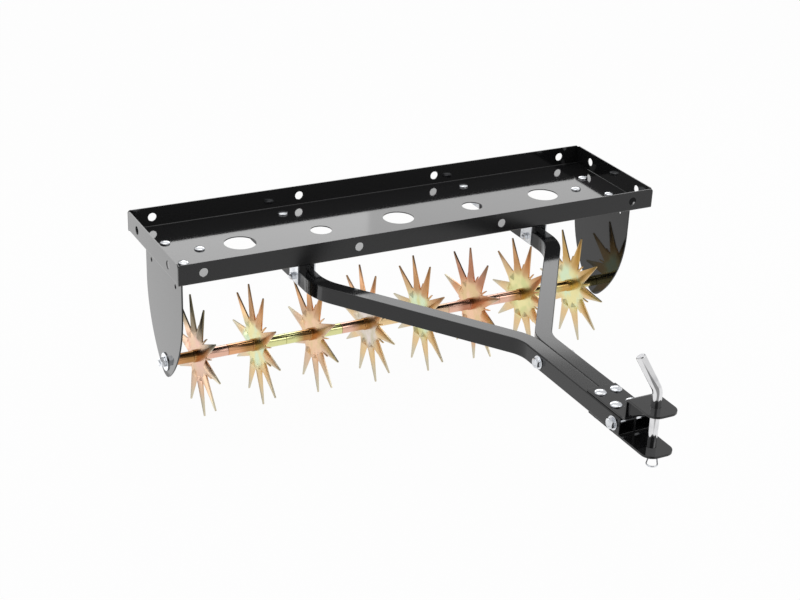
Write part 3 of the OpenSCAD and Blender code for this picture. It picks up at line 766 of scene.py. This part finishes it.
def hexagon(flats: float, height: float, bore: float = 0.0, steps: int = 48) -> Part:
    """A chamfered nut, or without a bore a bolt's head, standing on z = 0.

    Args:
        flats: width across the flats.
        height: height over all.
        bore: radius of the threaded hole, or 0.
        steps: how many faces go round.

    Returns:
        The closed part.
    """
    face = flats / 2 * 0.95
    soft = height * 0.05

    def corner(angle: float) -> float:
        """Radius of the hexagon at an angle."""
        return flats / 2 / math.cos(angle % (math.pi / 3) - math.pi / 6)

    def drop(angle: float) -> float:
        """How far the chamfer has come down at the hexagon's side."""
        return (corner(angle) - face) * math.tan(math.radians(30))

    low = drop if bore else (lambda angle: drop(angle) * 0.3)
    rows: list[Row] = [
        lambda angle: (face, 0.0),
        lambda angle: (corner(angle), low(angle)),
        lambda angle: (corner(angle), height - drop(angle)),
        lambda angle: (face, height),
    ]
    if bore:
        rows += [
            lambda angle: (bore + 2 * soft, height),
            lambda angle: (bore, height - 2 * soft),
            lambda angle: (bore, 2 * soft),
            lambda angle: (bore + 2 * soft, 0.0),
        ]
    else:
        rows += [
            lambda angle: (face * 0.62, height),
            lambda angle: (face * 0.56, height - soft),
            lambda angle: (face * 0.2, height - soft),
        ]
    return milled(rows, steps, ring=bool(bore))


def thread(radius: float, pitch: float, start: float, length: float) -> Part:
    """The ridge of a screw thread, wound up from a height along Z.

    Args:
        radius: radius over the thread.
        pitch: rise of one turn.
        start: height at which it starts.
        length: how far it reaches.

    Returns:
        The closed ridge.
    """
    foot, turn_steps = radius - 0.62 * pitch, 16
    shape = bmesh.new()
    outline = ((foot, 0.0), (radius, 0.44), (radius, 0.56), (foot, 1.0))
    points = [shape.verts.new((r, 0.0, start + share * pitch)) for r, share in outline]
    edges = [shape.edges.new(pair) for pair in zip(points, points[1:] + points[:1])]
    steps = round(turn_steps * (length / pitch - 1))
    bmesh.ops.spin(
        shape, geom=[*points, *edges], axis=UP, cent=ORIGIN, dvec=(0.0, 0.0, pitch / turn_steps),
        angle=math.tau * steps / turn_steps, steps=steps, use_merge=False, use_duplicate=False,
    )
    bmesh.ops.holes_fill(shape, edges=shape.edges, sides=4)
    bmesh.ops.recalc_face_normals(shape, faces=shape.faces)
    return shape


def washer(radius: float, bore: float, sheet: float) -> Part:
    """A washer with a rolled rim, lying on z = 0.

    Args:
        radius: radius of its rim.
        bore: radius of its hole.
        sheet: its thickness.

    Returns:
        The closed part.
    """
    soft = sheet * 0.18
    lower = [(bore, soft), (bore + soft, 0.0), (radius - soft, 0.0), (radius, soft)]
    upper = [(r, sheet - z) for r, z in reversed(lower)]
    return turned(lower + upper, 48, ring=True)


def assembled(*parts: tuple[Part, Sequence[Matrix]]) -> Part:
    """Sets copies of parts at their places and uses the parts up.

    Args:
        parts: each part, round its own origin, with one matrix for each copy.

    Returns:
        All copies in one.
    """
    whole = bmesh.new()
    for part, places in parts:
        pattern = bpy.data.meshes.new("pattern")
        part.to_mesh(pattern)
        part.free()
        for place in places:
            copy = pattern.copy()
            copy.transform(place)
            whole.from_mesh(copy)
            bpy.data.meshes.remove(copy)
        bpy.data.meshes.remove(pattern)
    return whole


@dataclass
class SubAssembly:
    """What every sub-assembly has: the shared places and the means to hand its pieces over."""

    layout: Layout

    def piece(
        self, node: str, shape: Part, recipe: Finish, body: str = Body.FRAME.value, smooth: float = 32.0
    ) -> bpy.types.Object:
        """Makes a piece that stands for a CAD node.

        Args:
            node: the node that it replaces.
            shape: its mesh, which is used up.
            recipe: its finish, which names the record's material slot.
            body: the body that it rides on.
            smooth: edges flatter than this many degrees are shaded smooth.

        Returns:
            The object.
        """
        mesh = bpy.data.meshes.new(f"{node}_work")
        shape.to_mesh(mesh)
        shape.free()
        mesh.shade_smooth()
        mesh.set_sharp_from_angle(angle=math.radians(smooth))
        mesh.materials.append(finished(recipe))
        made = bpy.data.objects.new(f"{node}_work", mesh)
        bpy.context.scene.collection.objects.link(made)
        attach(made, body)
        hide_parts(node)
        log.info("%s: %d faces, %s, on %s", made.name, len(mesh.polygons), mesh.materials[0].name, body)
        return made

    def rolled(
        self, node: str, edge: float, recipe: Finish, body: str = Body.FRAME.value, sharp: float = 30.0
    ) -> None:
        """Copies a sheet or star node, joins its faces and rolls its edges.

        Args:
            node: the CAD node.
            edge: width of the rolled edge.
            recipe: its finish.
            body: the body that it rides on.
            sharp: edges sharper than this many degrees are rolled.
        """
        same_point, same_flat = 2e-6, math.radians(0.2)
        shape = bmesh.new()
        shape.from_mesh(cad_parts[node].data)
        bmesh.ops.remove_doubles(shape, verts=shape.verts, dist=same_point)
        bmesh.ops.dissolve_limit(
            shape, angle_limit=same_flat, use_dissolve_boundaries=False,
            verts=shape.verts, edges=shape.edges, delimit={"NORMAL"},
        )
        bmesh.ops.recalc_face_normals(shape, faces=shape.faces)
        self.roll_edges(self.piece(node, shape, recipe, body, sharp), edge, sharp)

    @staticmethod
    def roll_edges(made: bpy.types.Object, edge: float, sharp: float = 30.0) -> None:
        """Rolls a piece's edges and keeps its flats true.

        Args:
            made: the piece.
            edge: width of the rolled edge.
            sharp: edges sharper than this many degrees are rolled.
        """
        bevel = made.modifiers.new("rolled edge", "BEVEL")
        bevel.width = edge
        bevel.segments = 2
        bevel.limit_method = "ANGLE"
        bevel.angle_limit = math.radians(sharp)
        bevel.use_clamp_overlap = True
        bevel.harden_normals = True
        weight = made.modifiers.new("true flats", "WEIGHTED_NORMAL")
        weight.keep_sharp = True


@dataclass
class Bodywork(SubAssembly):
    """Tray, side plates, brackets and hitch plates: folded and rolled at their edges."""

    tray_edge: float = 0.0004
    plate_edge: float = 0.0005
    hitch_edge: float = 0.0006
    bracket_edge: float = 0.0004
    wall_inside: float = 0.1375
    coat: PowderCoat = PowderCoat()
    plating: BrightZinc = BrightZinc(name="bright zinc on brackets", roughness=0.2, scale=70.0)

    def build(self) -> None:
        """Rolls the edges of every black sheet and bracket."""
        inside = self.layout.middle - self.wall_inside
        tray_coat = PowderCoat(name="black powder coat on tray", roughness=0.065, dull_before=inside)
        self.rolled("weight_tray", self.tray_edge, tray_coat)
        for side in ("left", "right"):
            self.rolled(f"{side}_side_plate", self.plate_edge, self.coat)
        for level in ("upper", "lower"):
            self.rolled(f"hitch_{level}_plate", self.hitch_edge, self.coat)
        for side in ("left", "right"):
            for spot in ("outer", "inner", "rear"):
                self.rolled(f"{side}_{spot}_bracket", self.bracket_edge, self.plating)


@dataclass
class Drawbar(SubAssembly):
    """The two arms of square tube, bent at root and front, that lie side by side as the bar."""

    wall: float = 0.002
    corner: float = 0.002
    inner_corner: float = 0.0006
    spread: float = 0.252
    rear: float = 0.124
    root_at: float = 0.177
    front_at: float = 0.520
    reach: float = 0.820
    root_bend: float = 0.110
    front_bend: float = 0.076
    bend_steps: int = 20
    end_edge: float = 0.0003
    coat: PowderCoat = PowderCoat(name="black powder coat on arms", roughness=0.08)

    def section(self) -> Part:
        """The tube's wall in section, upright across Y.

        Returns:
            A ring of faces.
        """
        shape = bmesh.new()
        outer = self.layout.arm_width
        for size, corner in ((outer, self.corner), (outer - 2 * self.wall, self.inner_corner)):
            corners = bmesh.ops.create_grid(shape, x_segments=1, y_segments=1, size=size / 2)["verts"]
            bmesh.ops.bevel(
                shape, geom=corners, offset=corner, affect="VERTICES", segments=6, profile=0.5, material=-1
            )
        bmesh.ops.delete(shape, geom=list(shape.faces), context="FACES_ONLY")
        bmesh.ops.bridge_loops(shape, edges=shape.edges)
        upright = Matrix.Rotation(math.pi / 2, 3, "X")
        bmesh.ops.rotate(shape, verts=shape.verts, cent=ORIGIN, matrix=upright)
        return shape

    def arm(self, side: int) -> Part:
        """One arm from its root to the clevis.

        Args:
            side: -1 for the left arm, 1 for the right one.

        Returns:
            The closed tube.
        """
        half, up, steps = self.layout.arm_width / 2, Vector(UP), self.bend_steps
        run = self.front_at - self.root_at
        turn = math.atan((self.spread - half) / run)
        root_tangent = self.root_bend * math.tan(turn / 2)
        front_tangent = self.front_bend * math.tan(turn / 2)
        root_end = root_tangent - self.root_at
        front_start = -self.front_at - front_tangent
        slant = run / math.cos(turn) - root_tangent - front_tangent
        tube = Drawn(self.section())
        bmesh.ops.translate(tube.shape, verts=tube.points, vec=(side * self.spread, self.rear, 0.0))
        tube.straight(Vector((0.0, root_end - self.rear, 0.0)))
        tube.bend(Vector((side * (self.spread - self.root_bend), root_end, 0.0)), up, -side * turn, steps)
        tube.straight(slant * Vector((-side * math.sin(turn), -math.cos(turn), 0.0)))
        tube.bend(Vector((side * (half + self.front_bend), front_start, 0.0)), up, side * turn, steps)
        tube.straight(Vector((0.0, -self.reach - front_start, 0.0)))
        return tube.closed(hollow=True)

    def build(self) -> None:
        """Bends both arms."""
        place = Matrix.Translation((0.0, self.layout.middle, self.layout.arm_middle))
        for name, side in (("left_arm", -1), ("right_arm", 1)):
            made = self.piece(name, assembled((self.arm(side), [place])), self.coat)
            self.roll_edges(made, self.end_edge)


@dataclass
class Fasteners(SubAssembly):
    """Bolts, nuts and washers in bright zinc, with chamfers and real thread ends."""

    small: float = 0.004
    small_pitch: float = 0.00125
    small_flats: float = 0.013
    small_nut: float = 0.0065
    head: float = 0.010
    head_height: float = 0.0046
    head_foot: float = 0.0013
    head_edge: float = 0.00015
    head_rim: float = 0.00012
    cross: float = 0.005
    cross_pitch: float = 0.0015
    cross_flats: float = 0.017
    cross_nut: float = 0.0065
    cross_washer: float = 0.012
    cross_washer_sheet: float = 0.002
    thread_out: float = 0.003
    threaded: float = 0.0112
    thread_fade: float = 0.0005
    bracket_spot: Point = (0.252, 0.103, 0.048)
    flange_pair: Span = (0.466, 0.050)
    flange_single: float = 0.416
    hitch_spots: tuple[float, float, float] = (0.015, -0.786, -0.742)
    cross_spots: Span = (-0.803, -0.581)
    plating: BrightZinc = BrightZinc()

    def shank(self, radius: float, pitch: float, length: float) -> list[Part]:
        """A bolt's shank below z = 0, threaded at its end.

        Args:
            radius: radius over the thread.
            pitch: rise of one turn.
            length: length of the shank.

        Returns:
            The shank and the ridge of its thread.
        """
        core, plain = radius - 0.6 * pitch, radius * 0.97
        free = self.threaded - length
        outline = (
            (0.0, -length), (core - 0.4 * pitch, -length), (core, -length + 0.5 * pitch),
            (core, free), (plain, free + self.thread_fade), (plain, 0.0), (0.0, 0.0),
        )
        return [turned(outline, 24), thread(radius, pitch, -length + 0.3 * pitch, self.threaded)]

    def round_head(self) -> Part:
        """The domed head, its underside on z = 0.

        Returns:
            The closed head.
        """
        steps, rise = 12, self.head_height - self.head_foot
        turns = [math.pi / 2 * k / steps for k in range(steps + 1)]
        dome = [(self.head * math.sin(t), self.head_foot + rise * math.cos(t) ** 0.9) for t in turns]
        foot = ((self.head, self.head_rim), (self.head - self.head_edge, 0.0), (0.0, 0.0))
        return turned((*dome, *foot), 40)

    def round_bolts(self, node: str, length: float, places: Sequence[Matrix]) -> None:
        """Makes one node's round head bolts, whose undersides stand at the places."""
        parts = [self.round_head(), *self.shank(self.small, self.small_pitch, length)]
        self.piece(node, assembled(*((part, places) for part in parts)), self.plating)

    def hex_bolts(
        self, node: str, size: Span, head: Span, bolts: Sequence[tuple[float, Matrix]]
    ) -> None:
        """Makes one node's hexagon head bolts.

        Args:
            node: the CAD node.
            size: radius over the thread and its pitch.
            head: width across flats and height of the head.
            bolts: length and place of each bolt.
        """
        parts = []
        for length, place in bolts:
            parts += [(part, [place]) for part in (hexagon(*head), *self.shank(*size, length))]
        self.piece(node, assembled(*parts), self.plating)

    def nuts(self, node: str, head: Span, bore: float, places: Sequence[Matrix]) -> None:
        """Makes one node's nuts, each with its bearing face at a place and +Z into the nut."""
        self.piece(node, assembled((hexagon(*head, bore + self.layout.bore_play), places)), self.plating)

    def build(self) -> None:
        """Makes every bolt, nut and washer but the axle's."""
        lay = self.layout
        flange = [(s * self.flange_pair[0], t * self.flange_pair[1]) for s in SIDES for t in SIDES]
        flange += [(s * self.flange_single, 0.0) for s in SIDES]
        arm, back, out = self.bracket_spot
        corners = ((arm - out, -back), (arm + out, -back), (arm - out, back))
        floor = [(s * x, y) for s in SIDES for x, y in corners]
        across, *rows = self.hitch_spots
        hitch = [(s * across, y) for s in SIDES for y in rows]
        sheets = lay.tray_sheet + lay.plate_sheet
        stack = lay.arm_width + 2 * lay.hitch_sheet
        groups = (
            ("side_plate", flange, lay.tray_floor, sheets),
            ("bracket_floor", floor, lay.tray_floor, sheets),
            ("hitch", hitch, lay.arm_top + lay.hitch_sheet, stack),
        )
        head, clamped = (self.small_flats, self.small_nut), self.small_nut + self.thread_out
        for name, spots, top, grip in groups:
            tops = [stand((x, lay.middle + y, top)) for x, y in spots]
            feet = [stand((x, lay.middle + y, top - grip), DOWN) for x, y in spots]
            self.round_bolts(f"{name}_bolts", grip + clamped, tops)
            self.nuts(f"{name}_nuts", head, self.small, feet)
        self.root_bolts(head, clamped)
        self.cross_bolts()

    def root_bolts(self, head: Span, clamped: float) -> None:
        """Makes the bolts and nuts through the arms' roots.

        Args:
            head: width across flats and height of head and nut.
            clamped: length of nut and free thread.
        """
        lay = self.layout
        arm, back, _ = self.bracket_spot
        half, both = lay.arm_width / 2, lay.arm_width / 2 + lay.plate_sheet
        bolts, nuts = [], []
        for s in SIDES:
            right, left = (both, half) if s < 0 else (half, both)
            for y, plus, minus in ((-back, both, both), (back, right, left)):
                top = (s * arm + plus, lay.middle + y, lay.arm_middle)
                foot = (s * arm - minus, lay.middle + y, lay.arm_middle)
                bolts.append((plus + minus + clamped, stand(top, RIGHT)))
                nuts.append(stand(foot, LEFT))
        self.hex_bolts("arm_root_bolts", (self.small, self.small_pitch), head, bolts)
        self.nuts("arm_root_nuts", head, self.small, nuts)

    def cross_bolts(self) -> None:
        """Makes the two cross bolts with their washers and nuts."""
        lay = self.layout
        grip = lay.arm_width + self.cross_washer_sheet
        length = 2 * grip + self.cross_nut + self.thread_out
        places = [(lay.middle + y, lay.arm_middle) for y in self.cross_spots]
        bolts = [(length, stand((-grip, y, z), LEFT)) for y, z in places]
        head = (self.cross_flats, self.cross_nut)
        self.hex_bolts("cross_bolts", (self.cross, self.cross_pitch), head, bolts)
        nuts = [stand((grip, y, z), RIGHT) for y, z in places]
        self.nuts("cross_nuts", head, self.cross, nuts)
        flat = washer(self.cross_washer, self.cross + lay.bore_play, self.cross_washer_sheet)
        seats = [stand((s * lay.arm_width, y, z), (s, 0.0, 0.0)) for s in SIDES for y, z in places]
        self.piece("cross_washers", assembled((flat, seats)), self.plating)


@dataclass
class AxleSet(SubAssembly):
    """Axle rod with threaded ends, its washers and nuts, and the hub tubes with their collars."""

    rod: float = 0.006
    rod_half: float = 0.5035
    rod_chamfer: Span = (0.0006, 0.0009)
    pitch: float = 0.00175
    threaded: float = 0.016
    thread_fade: float = 0.0008
    washer_radius: float = 0.018
    washer_sheet: float = 0.0025
    nut_flats: float = 0.019
    nut_height: float = 0.010
    tube: float = 0.011
    tube_edge: float = 0.0004
    tube_length: float = 0.1209125
    bore: float = 0.00605
    bore_edge: float = 0.0005
    collar: float = 0.0125
    collar_width: float = 0.009
    collar_round: float = 0.0012
    star_sheet: float = 0.003
    plating: BrightZinc = BrightZinc(name="bright zinc on axle", roughness=0.17)
    # Each tube's middle hue is painted shade beside its star.
    films: tuple[TubeFilm, ...] = (
        TubeFilm(1, Hue.AMBER, Hue.BRONZE, Hue.ROSE),
        TubeFilm(2, Hue.COPPER, Hue.BRONZE, Hue.LIME),
        TubeFilm(3, Hue.LIME, Hue.BRONZE, Hue.LIME),
        TubeFilm(4, Hue.ROSE, Hue.BRONZE, Hue.PEACH),
        TubeFilm(5, Hue.PEACH, Hue.AMBER, Hue.FAWN),
        TubeFilm(6, Hue.ROSE, Hue.RUST, Hue.ROSE),
        TubeFilm(7, Hue.ROSE, Hue.BRONZE, Hue.OLIVE),
        TubeFilm(8, Hue.OLIVE, Hue.GOLD, Hue.OLIVE),
    )

    def hub_tube(self) -> Part:
        """One hub tube along Z with a round-edged collar each side of its star.

        Returns:
            The closed tube.
        """
        half, face, edge = self.tube_length / 2, self.star_sheet / 2, self.tube_edge
        end, soft = face + self.collar_width, self.collar_round
        upper = [
            (self.tube, face), (self.collar, face), (self.collar, end - soft),
            (self.collar - soft * 0.3, end - soft * 0.3), (self.tube + edge / 2, end),
            (self.tube, end + edge), (self.tube, half - edge), (self.tube - edge, half),
            (self.bore + self.bore_edge, half), (self.bore, half - self.bore_edge),
        ]
        lower = [(radius, -height) for radius, height in reversed(upper)]
        return turned(upper + lower, 48, ring=True)

    def ends(self, out: float) -> list[Matrix]:
        """Places on the axle to both sides, so far out and with +Z outwards."""
        lay = self.layout
        return [stand((s * out, lay.middle, lay.axle), (s, 0.0, 0.0)) for s in SIDES]

    def build(self) -> None:
        """Makes the rod, its washers and nuts, and the eight hub tubes."""
        lay = self.layout
        core, free = self.rod - 0.6 * self.pitch, self.rod_half - self.threaded
        narrow, short = self.rod_chamfer
        half_rod = [
            (0.0, self.rod_half), (core - narrow, self.rod_half), (core, self.rod_half - short),
            (core, free), (self.rod, free - self.thread_fade),
        ]
        rod = turned(half_rod + [(r, -z) for r, z in reversed(half_rod)], 40)
        ridge = thread(self.rod, self.pitch, free - 0.3 * self.pitch, self.threaded)
        middle = stand((0.0, lay.middle, lay.axle), RIGHT)
        self.piece("axle_rod", assembled((rod, [middle]), (ridge, self.ends(0.0))), self.plating)
        bore = self.rod + lay.bore_play
        seats = self.ends(lay.plate_outer)
        flat = washer(self.washer_radius, bore, self.washer_sheet)
        self.piece("axle_washers", assembled((flat, seats)), self.plating)
        nut = hexagon(self.nut_flats, self.nut_height, bore)
        seats = self.ends(lay.plate_outer + self.washer_sheet)
        self.piece("axle_nuts", assembled((nut, seats)), self.plating)
        for film in self.films:
            place = stand((lay.star_place(film.number), lay.middle, lay.axle), RIGHT)
            tube = assembled((self.hub_tube(), [place]))
            self.piece(f"hub_tube_{film.number}", tube, film, Body.STAR.numbered(film.number))


@dataclass
class StarWheels(SubAssembly):
    """The eight folded spike stars, each with the hues of its own plating and painted shade on its upper
    spikes.
    """

    edge: float = 0.0004
    sharp: float = 48.0
    # Each star's fourth hue is its shaded crown: painted shade on the upper spikes.
    films: tuple[StarFilm, ...] = (
        StarFilm(1, Hue.ROSE, Hue.FAWN, Hue.FAWN, Hue.SHADE_SLATE),
        StarFilm(2, Hue.MINT, Hue.STRAW, Hue.PEACH, Hue.AMBER),
        StarFilm(3, Hue.BLUSH, Hue.PEACH, Hue.FAWN, Hue.AMBER),
        StarFilm(4, Hue.CREAM, Hue.SAND, Hue.PEACH, Hue.COPPER),
        StarFilm(5, Hue.MINT, Hue.LIME, Hue.PEACH, Hue.AMBER),
        StarFilm(6, Hue.BLUSH, Hue.PEACH, Hue.COPPER, Hue.RUST),
        StarFilm(7, Hue.STRAW, Hue.LIME, Hue.PEACH, Hue.AMBER),
        StarFilm(8, Hue.STRAW, Hue.MINT, Hue.PEACH, Hue.GOLD),
    )

    def build(self) -> None:
        """Rolls the edges of the stars and plates them."""
        for film in self.films:
            body = Body.STAR.numbered(film.number)
            self.rolled(f"star_{film.number}", self.edge, film, body, self.sharp)


@dataclass
class HitchPin(SubAssembly):
    """The bent hitch pin and its spring clip."""

    radius: float = 0.008
    chamfer: float = 0.0015
    below: float = 0.016
    top: float = 0.379177
    bend_radius: float = 0.026
    bend: float = 30.0
    handle: float = 0.057
    direction: float = 145.0
    wire: float = 0.0013
    clip_turn: float = -46.0
    eye: float = 0.0085
    eye_at: float = 0.033
    leg_back: float = 0.020
    hug: float = 52.0
    hug_gap: float = 0.0003
    clip_plating: BrightZinc = BrightZinc(name="bright zinc on clip", roughness=0.15)

    @property
    def foot(self) -> float:
        """Height of the pin's lower end."""
        return self.layout.lower_ear - self.below

    @property
    def way(self) -> Vector:
        """The level direction in which the handle leans."""
        compass = math.radians(self.direction)
        return Vector((math.cos(compass), math.sin(compass), 0.0))

    @property
    def lean(self) -> Vector:
        """The direction of the handle."""
        turn = math.radians(self.bend)
        return self.way * math.sin(turn) + Vector((0.0, 0.0, math.cos(turn)))

    def handle_end(self) -> Vector:
        """The middle of the handle's end face, from the foot of the pin's axis.

        Returns:
            Its place.
        """
        turn = math.radians(self.bend)
        start = self.way * self.bend_radius * (1 - math.cos(turn))
        start += Vector((0.0, 0.0, self.top + self.bend_radius * math.sin(turn)))
        return start + self.lean * self.handle

    def rod(self) -> Part:
        """The pin from its lower end up, bent to its handle.

        Returns:
            The closed pin round Z.
        """
        steep, soft, waist = 0.85 * self.chamfer, 0.35 * self.chamfer, 0.97
        way, lean, up = self.way, self.lean, Vector(UP)
        small = (self.radius - self.chamfer) / self.radius
        shape = bmesh.new()
        points = bmesh.ops.create_circle(shape, radius=self.radius * small, segments=40)["verts"]
        bmesh.ops.translate(shape, verts=points, vec=(0.0, 0.0, self.foot))
        rod = Drawn(shape)
        rod.straight(up * steep, waist / small)
        rod.straight(up * soft, 1 / waist)
        rod.straight(up * (self.top - self.foot - steep - soft))
        centre = way * self.bend_radius + up * self.top
        rod.bend(centre, way.cross(up), -math.radians(self.bend), 14)
        rod.straight(lean * (self.handle - steep - soft))
        rod.straight(lean * soft, waist)
        rod.straight(lean * steep, small / waist)
        return rod.closed()

    def clip(self) -> Part:
        """The spring clip of bent wire, flat on z = 0 round the pin's axis.

        Returns:
            The closed wire.
        """
        grip = self.radius + self.wire + self.hug_gap
        apart = math.hypot(self.eye, self.eye_at)
        leave = math.atan2(self.eye_at, -self.eye) - math.acos((self.eye - grip) / apart)
        reach = math.sqrt(apart * apart - (grip - self.eye) ** 2)
        shape = bmesh.new()
        points = bmesh.ops.create_circle(shape, radius=self.wire, segments=16)["verts"]
        across = Matrix.Rotation(math.pi / 2, 3, "X")
        bmesh.ops.rotate(shape, verts=points, cent=ORIGIN, matrix=across)
        bmesh.ops.translate(shape, verts=points, vec=(0.0, self.leg_back, 0.0))
        wire, up = Drawn(shape), Vector(UP)

        def run(length: float, heading: float) -> None:
            """Runs the wire on in a straight line."""
            wire.straight(length * Vector((math.cos(heading), math.sin(heading), 0.0)))

        run(self.leg_back + self.eye_at, -math.pi / 2)
        wire.bend(Vector((self.eye, -self.eye_at, 0.0)), up, math.pi + leave, 30)
        run(reach, leave + math.pi / 2)
        wire.bend(Vector(), up, math.radians(self.hug), 10)
        run(self.eye, leave + math.radians(self.hug) + math.pi / 2)
        return wire.closed()

    def build(self) -> None:
        """Makes the pin and its clip."""
        hitch = Vector((0.0, self.layout.middle + self.layout.pin_back, 0.0))
        pin = assembled((self.rod(), [Matrix.Translation(hitch)]))
        end = (self.handle_end() + hitch).dot(self.lean)
        plating = PinPlating(handle_way=tuple(self.lean), handle_end=end, foot=self.foot)
        self.piece("hitch_pin", pin, plating, Body.PIN.value)
        turn = Matrix.Rotation(math.radians(self.clip_turn), 4, "Z")
        hole = hitch + Vector((0.0, 0.0, self.foot + self.below / 2))
        clip = assembled((self.clip(), [Matrix.Translation(hole) @ turn]))
        self.piece("pin_clip", clip, self.clip_plating, Body.PIN.value)


@dataclass(frozen=True)
class Lamp:
    """A soft box that shows in reflections only; with radiance 1 it is as bright as white paper."""

    name: str
    place: Point
    aim: Point
    size: Span
    radiance: float

    def hang(self) -> None:
        """Hangs the soft box."""
        data = bpy.data.lights.new(self.name, "AREA")
        data.shape = "RECTANGLE"
        data.size, data.size_y = self.size
        data.energy = self.radiance * math.pi * self.size[0] * self.size[1]
        lamp = bpy.data.objects.new(self.name, data)
        lamp.location = self.place
        lamp.rotation_mode = "QUATERNION"
        lamp.rotation_quaternion = (Vector(self.aim) - Vector(self.place)).to_track_quat("-Z", "Y")
        lamp.visible_camera = False
        bpy.context.scene.collection.objects.link(lamp)


@dataclass
class Studio:
    """Camera, lamps, floor and world."""

    layout: Layout
    azimuth: float = -28.127
    elevation: float = 25.253
    roll: float = 2.406
    focal_px: float = 1576.15
    photo_px: float = 800.0
    sensor: float = 36.0
    shift_x: float = -0.001645
    shift_y: float = 0.197976
    distance: float = 3.095693
    floor_half: float = 14.0
    world_glow: float = 0.8
    dark_way: Point = (-0.3, -0.6, 0.7)
    dark_edge: Span = (0.8, 0.94)
    dark_share: float = 0.85
    low_back: Span = (0.3, 0.7)
    low_height: Span = (0.12, 0.3)
    low_share: float = 0.65
    lamps: tuple[Lamp, ...] = (
        Lamp("back panel, left", (0.35, 2.0, 1.26), (0.35, 0.0, 1.26), (0.8, 0.82), 2.35),
        Lamp("back panel, right", (1.45, 2.0, 1.26), (1.45, 0.0, 1.26), (1.4, 0.82), 1.65),
        Lamp("front box", (1.12, -1.26, 1.79), (0.0, 0.38, 0.12), (1.2, 0.5), 1.8),
        Lamp("left table panel", (-0.88, 0.97, 0.006), (-0.88, 0.97, 1.0), (0.67, 1.25), 0.7),
        Lamp("top box", (-0.3, 0.1, 3.0), (0.0, 0.1, 0.0), (2.4, 2.4), 1.3),
    )

    def camera(self) -> None:
        """Sets the camera to the photograph's view of the tray."""
        a, e, r = (math.radians(v) for v in (self.azimuth, self.elevation, self.roll))
        back = Vector((math.sin(a) * math.cos(e), -math.cos(a) * math.cos(e), math.sin(e)))
        level = Vector((math.cos(a), math.sin(a), 0.0))
        upright = back.cross(level)
        right = math.cos(r) * level + math.sin(r) * upright
        up = -math.sin(r) * level + math.cos(r) * upright
        data = bpy.data.cameras.new("photo camera")
        data.lens = self.focal_px / self.photo_px * self.sensor
        data.sensor_width = self.sensor
        data.clip_start = 0.05
        data.clip_end = 60.0
        camera = bpy.data.objects.new("photo camera", data)
        bpy.context.scene.collection.objects.link(camera)
        place = self.distance * back - self.shift_x * right - self.shift_y * up
        place += Vector((0.0, self.layout.middle, self.layout.tray_rim))
        turn = Matrix((right, up, back)).transposed().to_4x4()
        camera.matrix_world = Matrix.Translation(place) @ turn
        bpy.context.scene.camera = camera

    def floor(self) -> None:
        """Lays a wide plain floor under the lowest spikes."""
        shape = bmesh.new()
        bmesh.ops.create_grid(shape, x_segments=1, y_segments=1, size=self.floor_half)
        mesh = bpy.data.meshes.new("studio floor")
        shape.to_mesh(mesh)
        shape.free()
        mesh.materials.append(StudioPaper().material())
        floor = bpy.data.objects.new("studio_floor", mesh)
        bpy.context.scene.collection.objects.link(floor)

    def lights(self) -> None:
        """Hangs the soft boxes and sets a white world.

        The world is dark where the photographer stands and low behind the machine.
        """
        for lamp in self.lamps:
            lamp.hang()
        world = bpy.data.worlds.new("studio white")
        world.use_nodes = True
        sky = Nodes(world.node_tree)
        background = sky.tree.nodes["Background"]
        sky.plug(background.inputs["Color"], (1.0, 1.0, 1.0))
        way = sky.node("ShaderNodeTexCoord").outputs["Generated"]
        aim = {0: way, 1: Vector(self.dark_way).normalized()}
        toward = sky.node("ShaderNodeVectorMath", {"operation": "DOT_PRODUCT"}, aim)
        room = Value(sky, toward.outputs["Value"]).rise(*self.dark_edge) * self.dark_share
        parts = sky.node("ShaderNodeSeparateXYZ", inputs={0: way})
        back, height = (Value(sky, parts.outputs[letter]) for letter in "YZ")
        low = back.rise(*self.low_back) * (1 - height.rise(*self.low_height)) * self.low_share
        glow = (1 - room) * (1 - low) * self.world_glow
        camera = Value(sky, sky.node("ShaderNodeLightPath").outputs["Is Camera Ray"])
        sky.plug(background.inputs["Strength"], glow + camera * (1 - glow))
        bpy.context.scene.world = world
        bpy.context.scene.view_settings.view_transform = "Standard"


def main() -> None:
    """Builds the studio and every piece."""
    logging.basicConfig(level=logging.INFO, format="%(name)s: %(message)s")
    layout = Layout()
    studio = Studio(layout)
    studio.camera()
    studio.floor()
    studio.lights()
    for kind in (Bodywork, Drawbar, Fasteners, AxleSet, StarWheels, HitchPin):
        kind(layout).build()


if __name__ == "__main__":
    main()
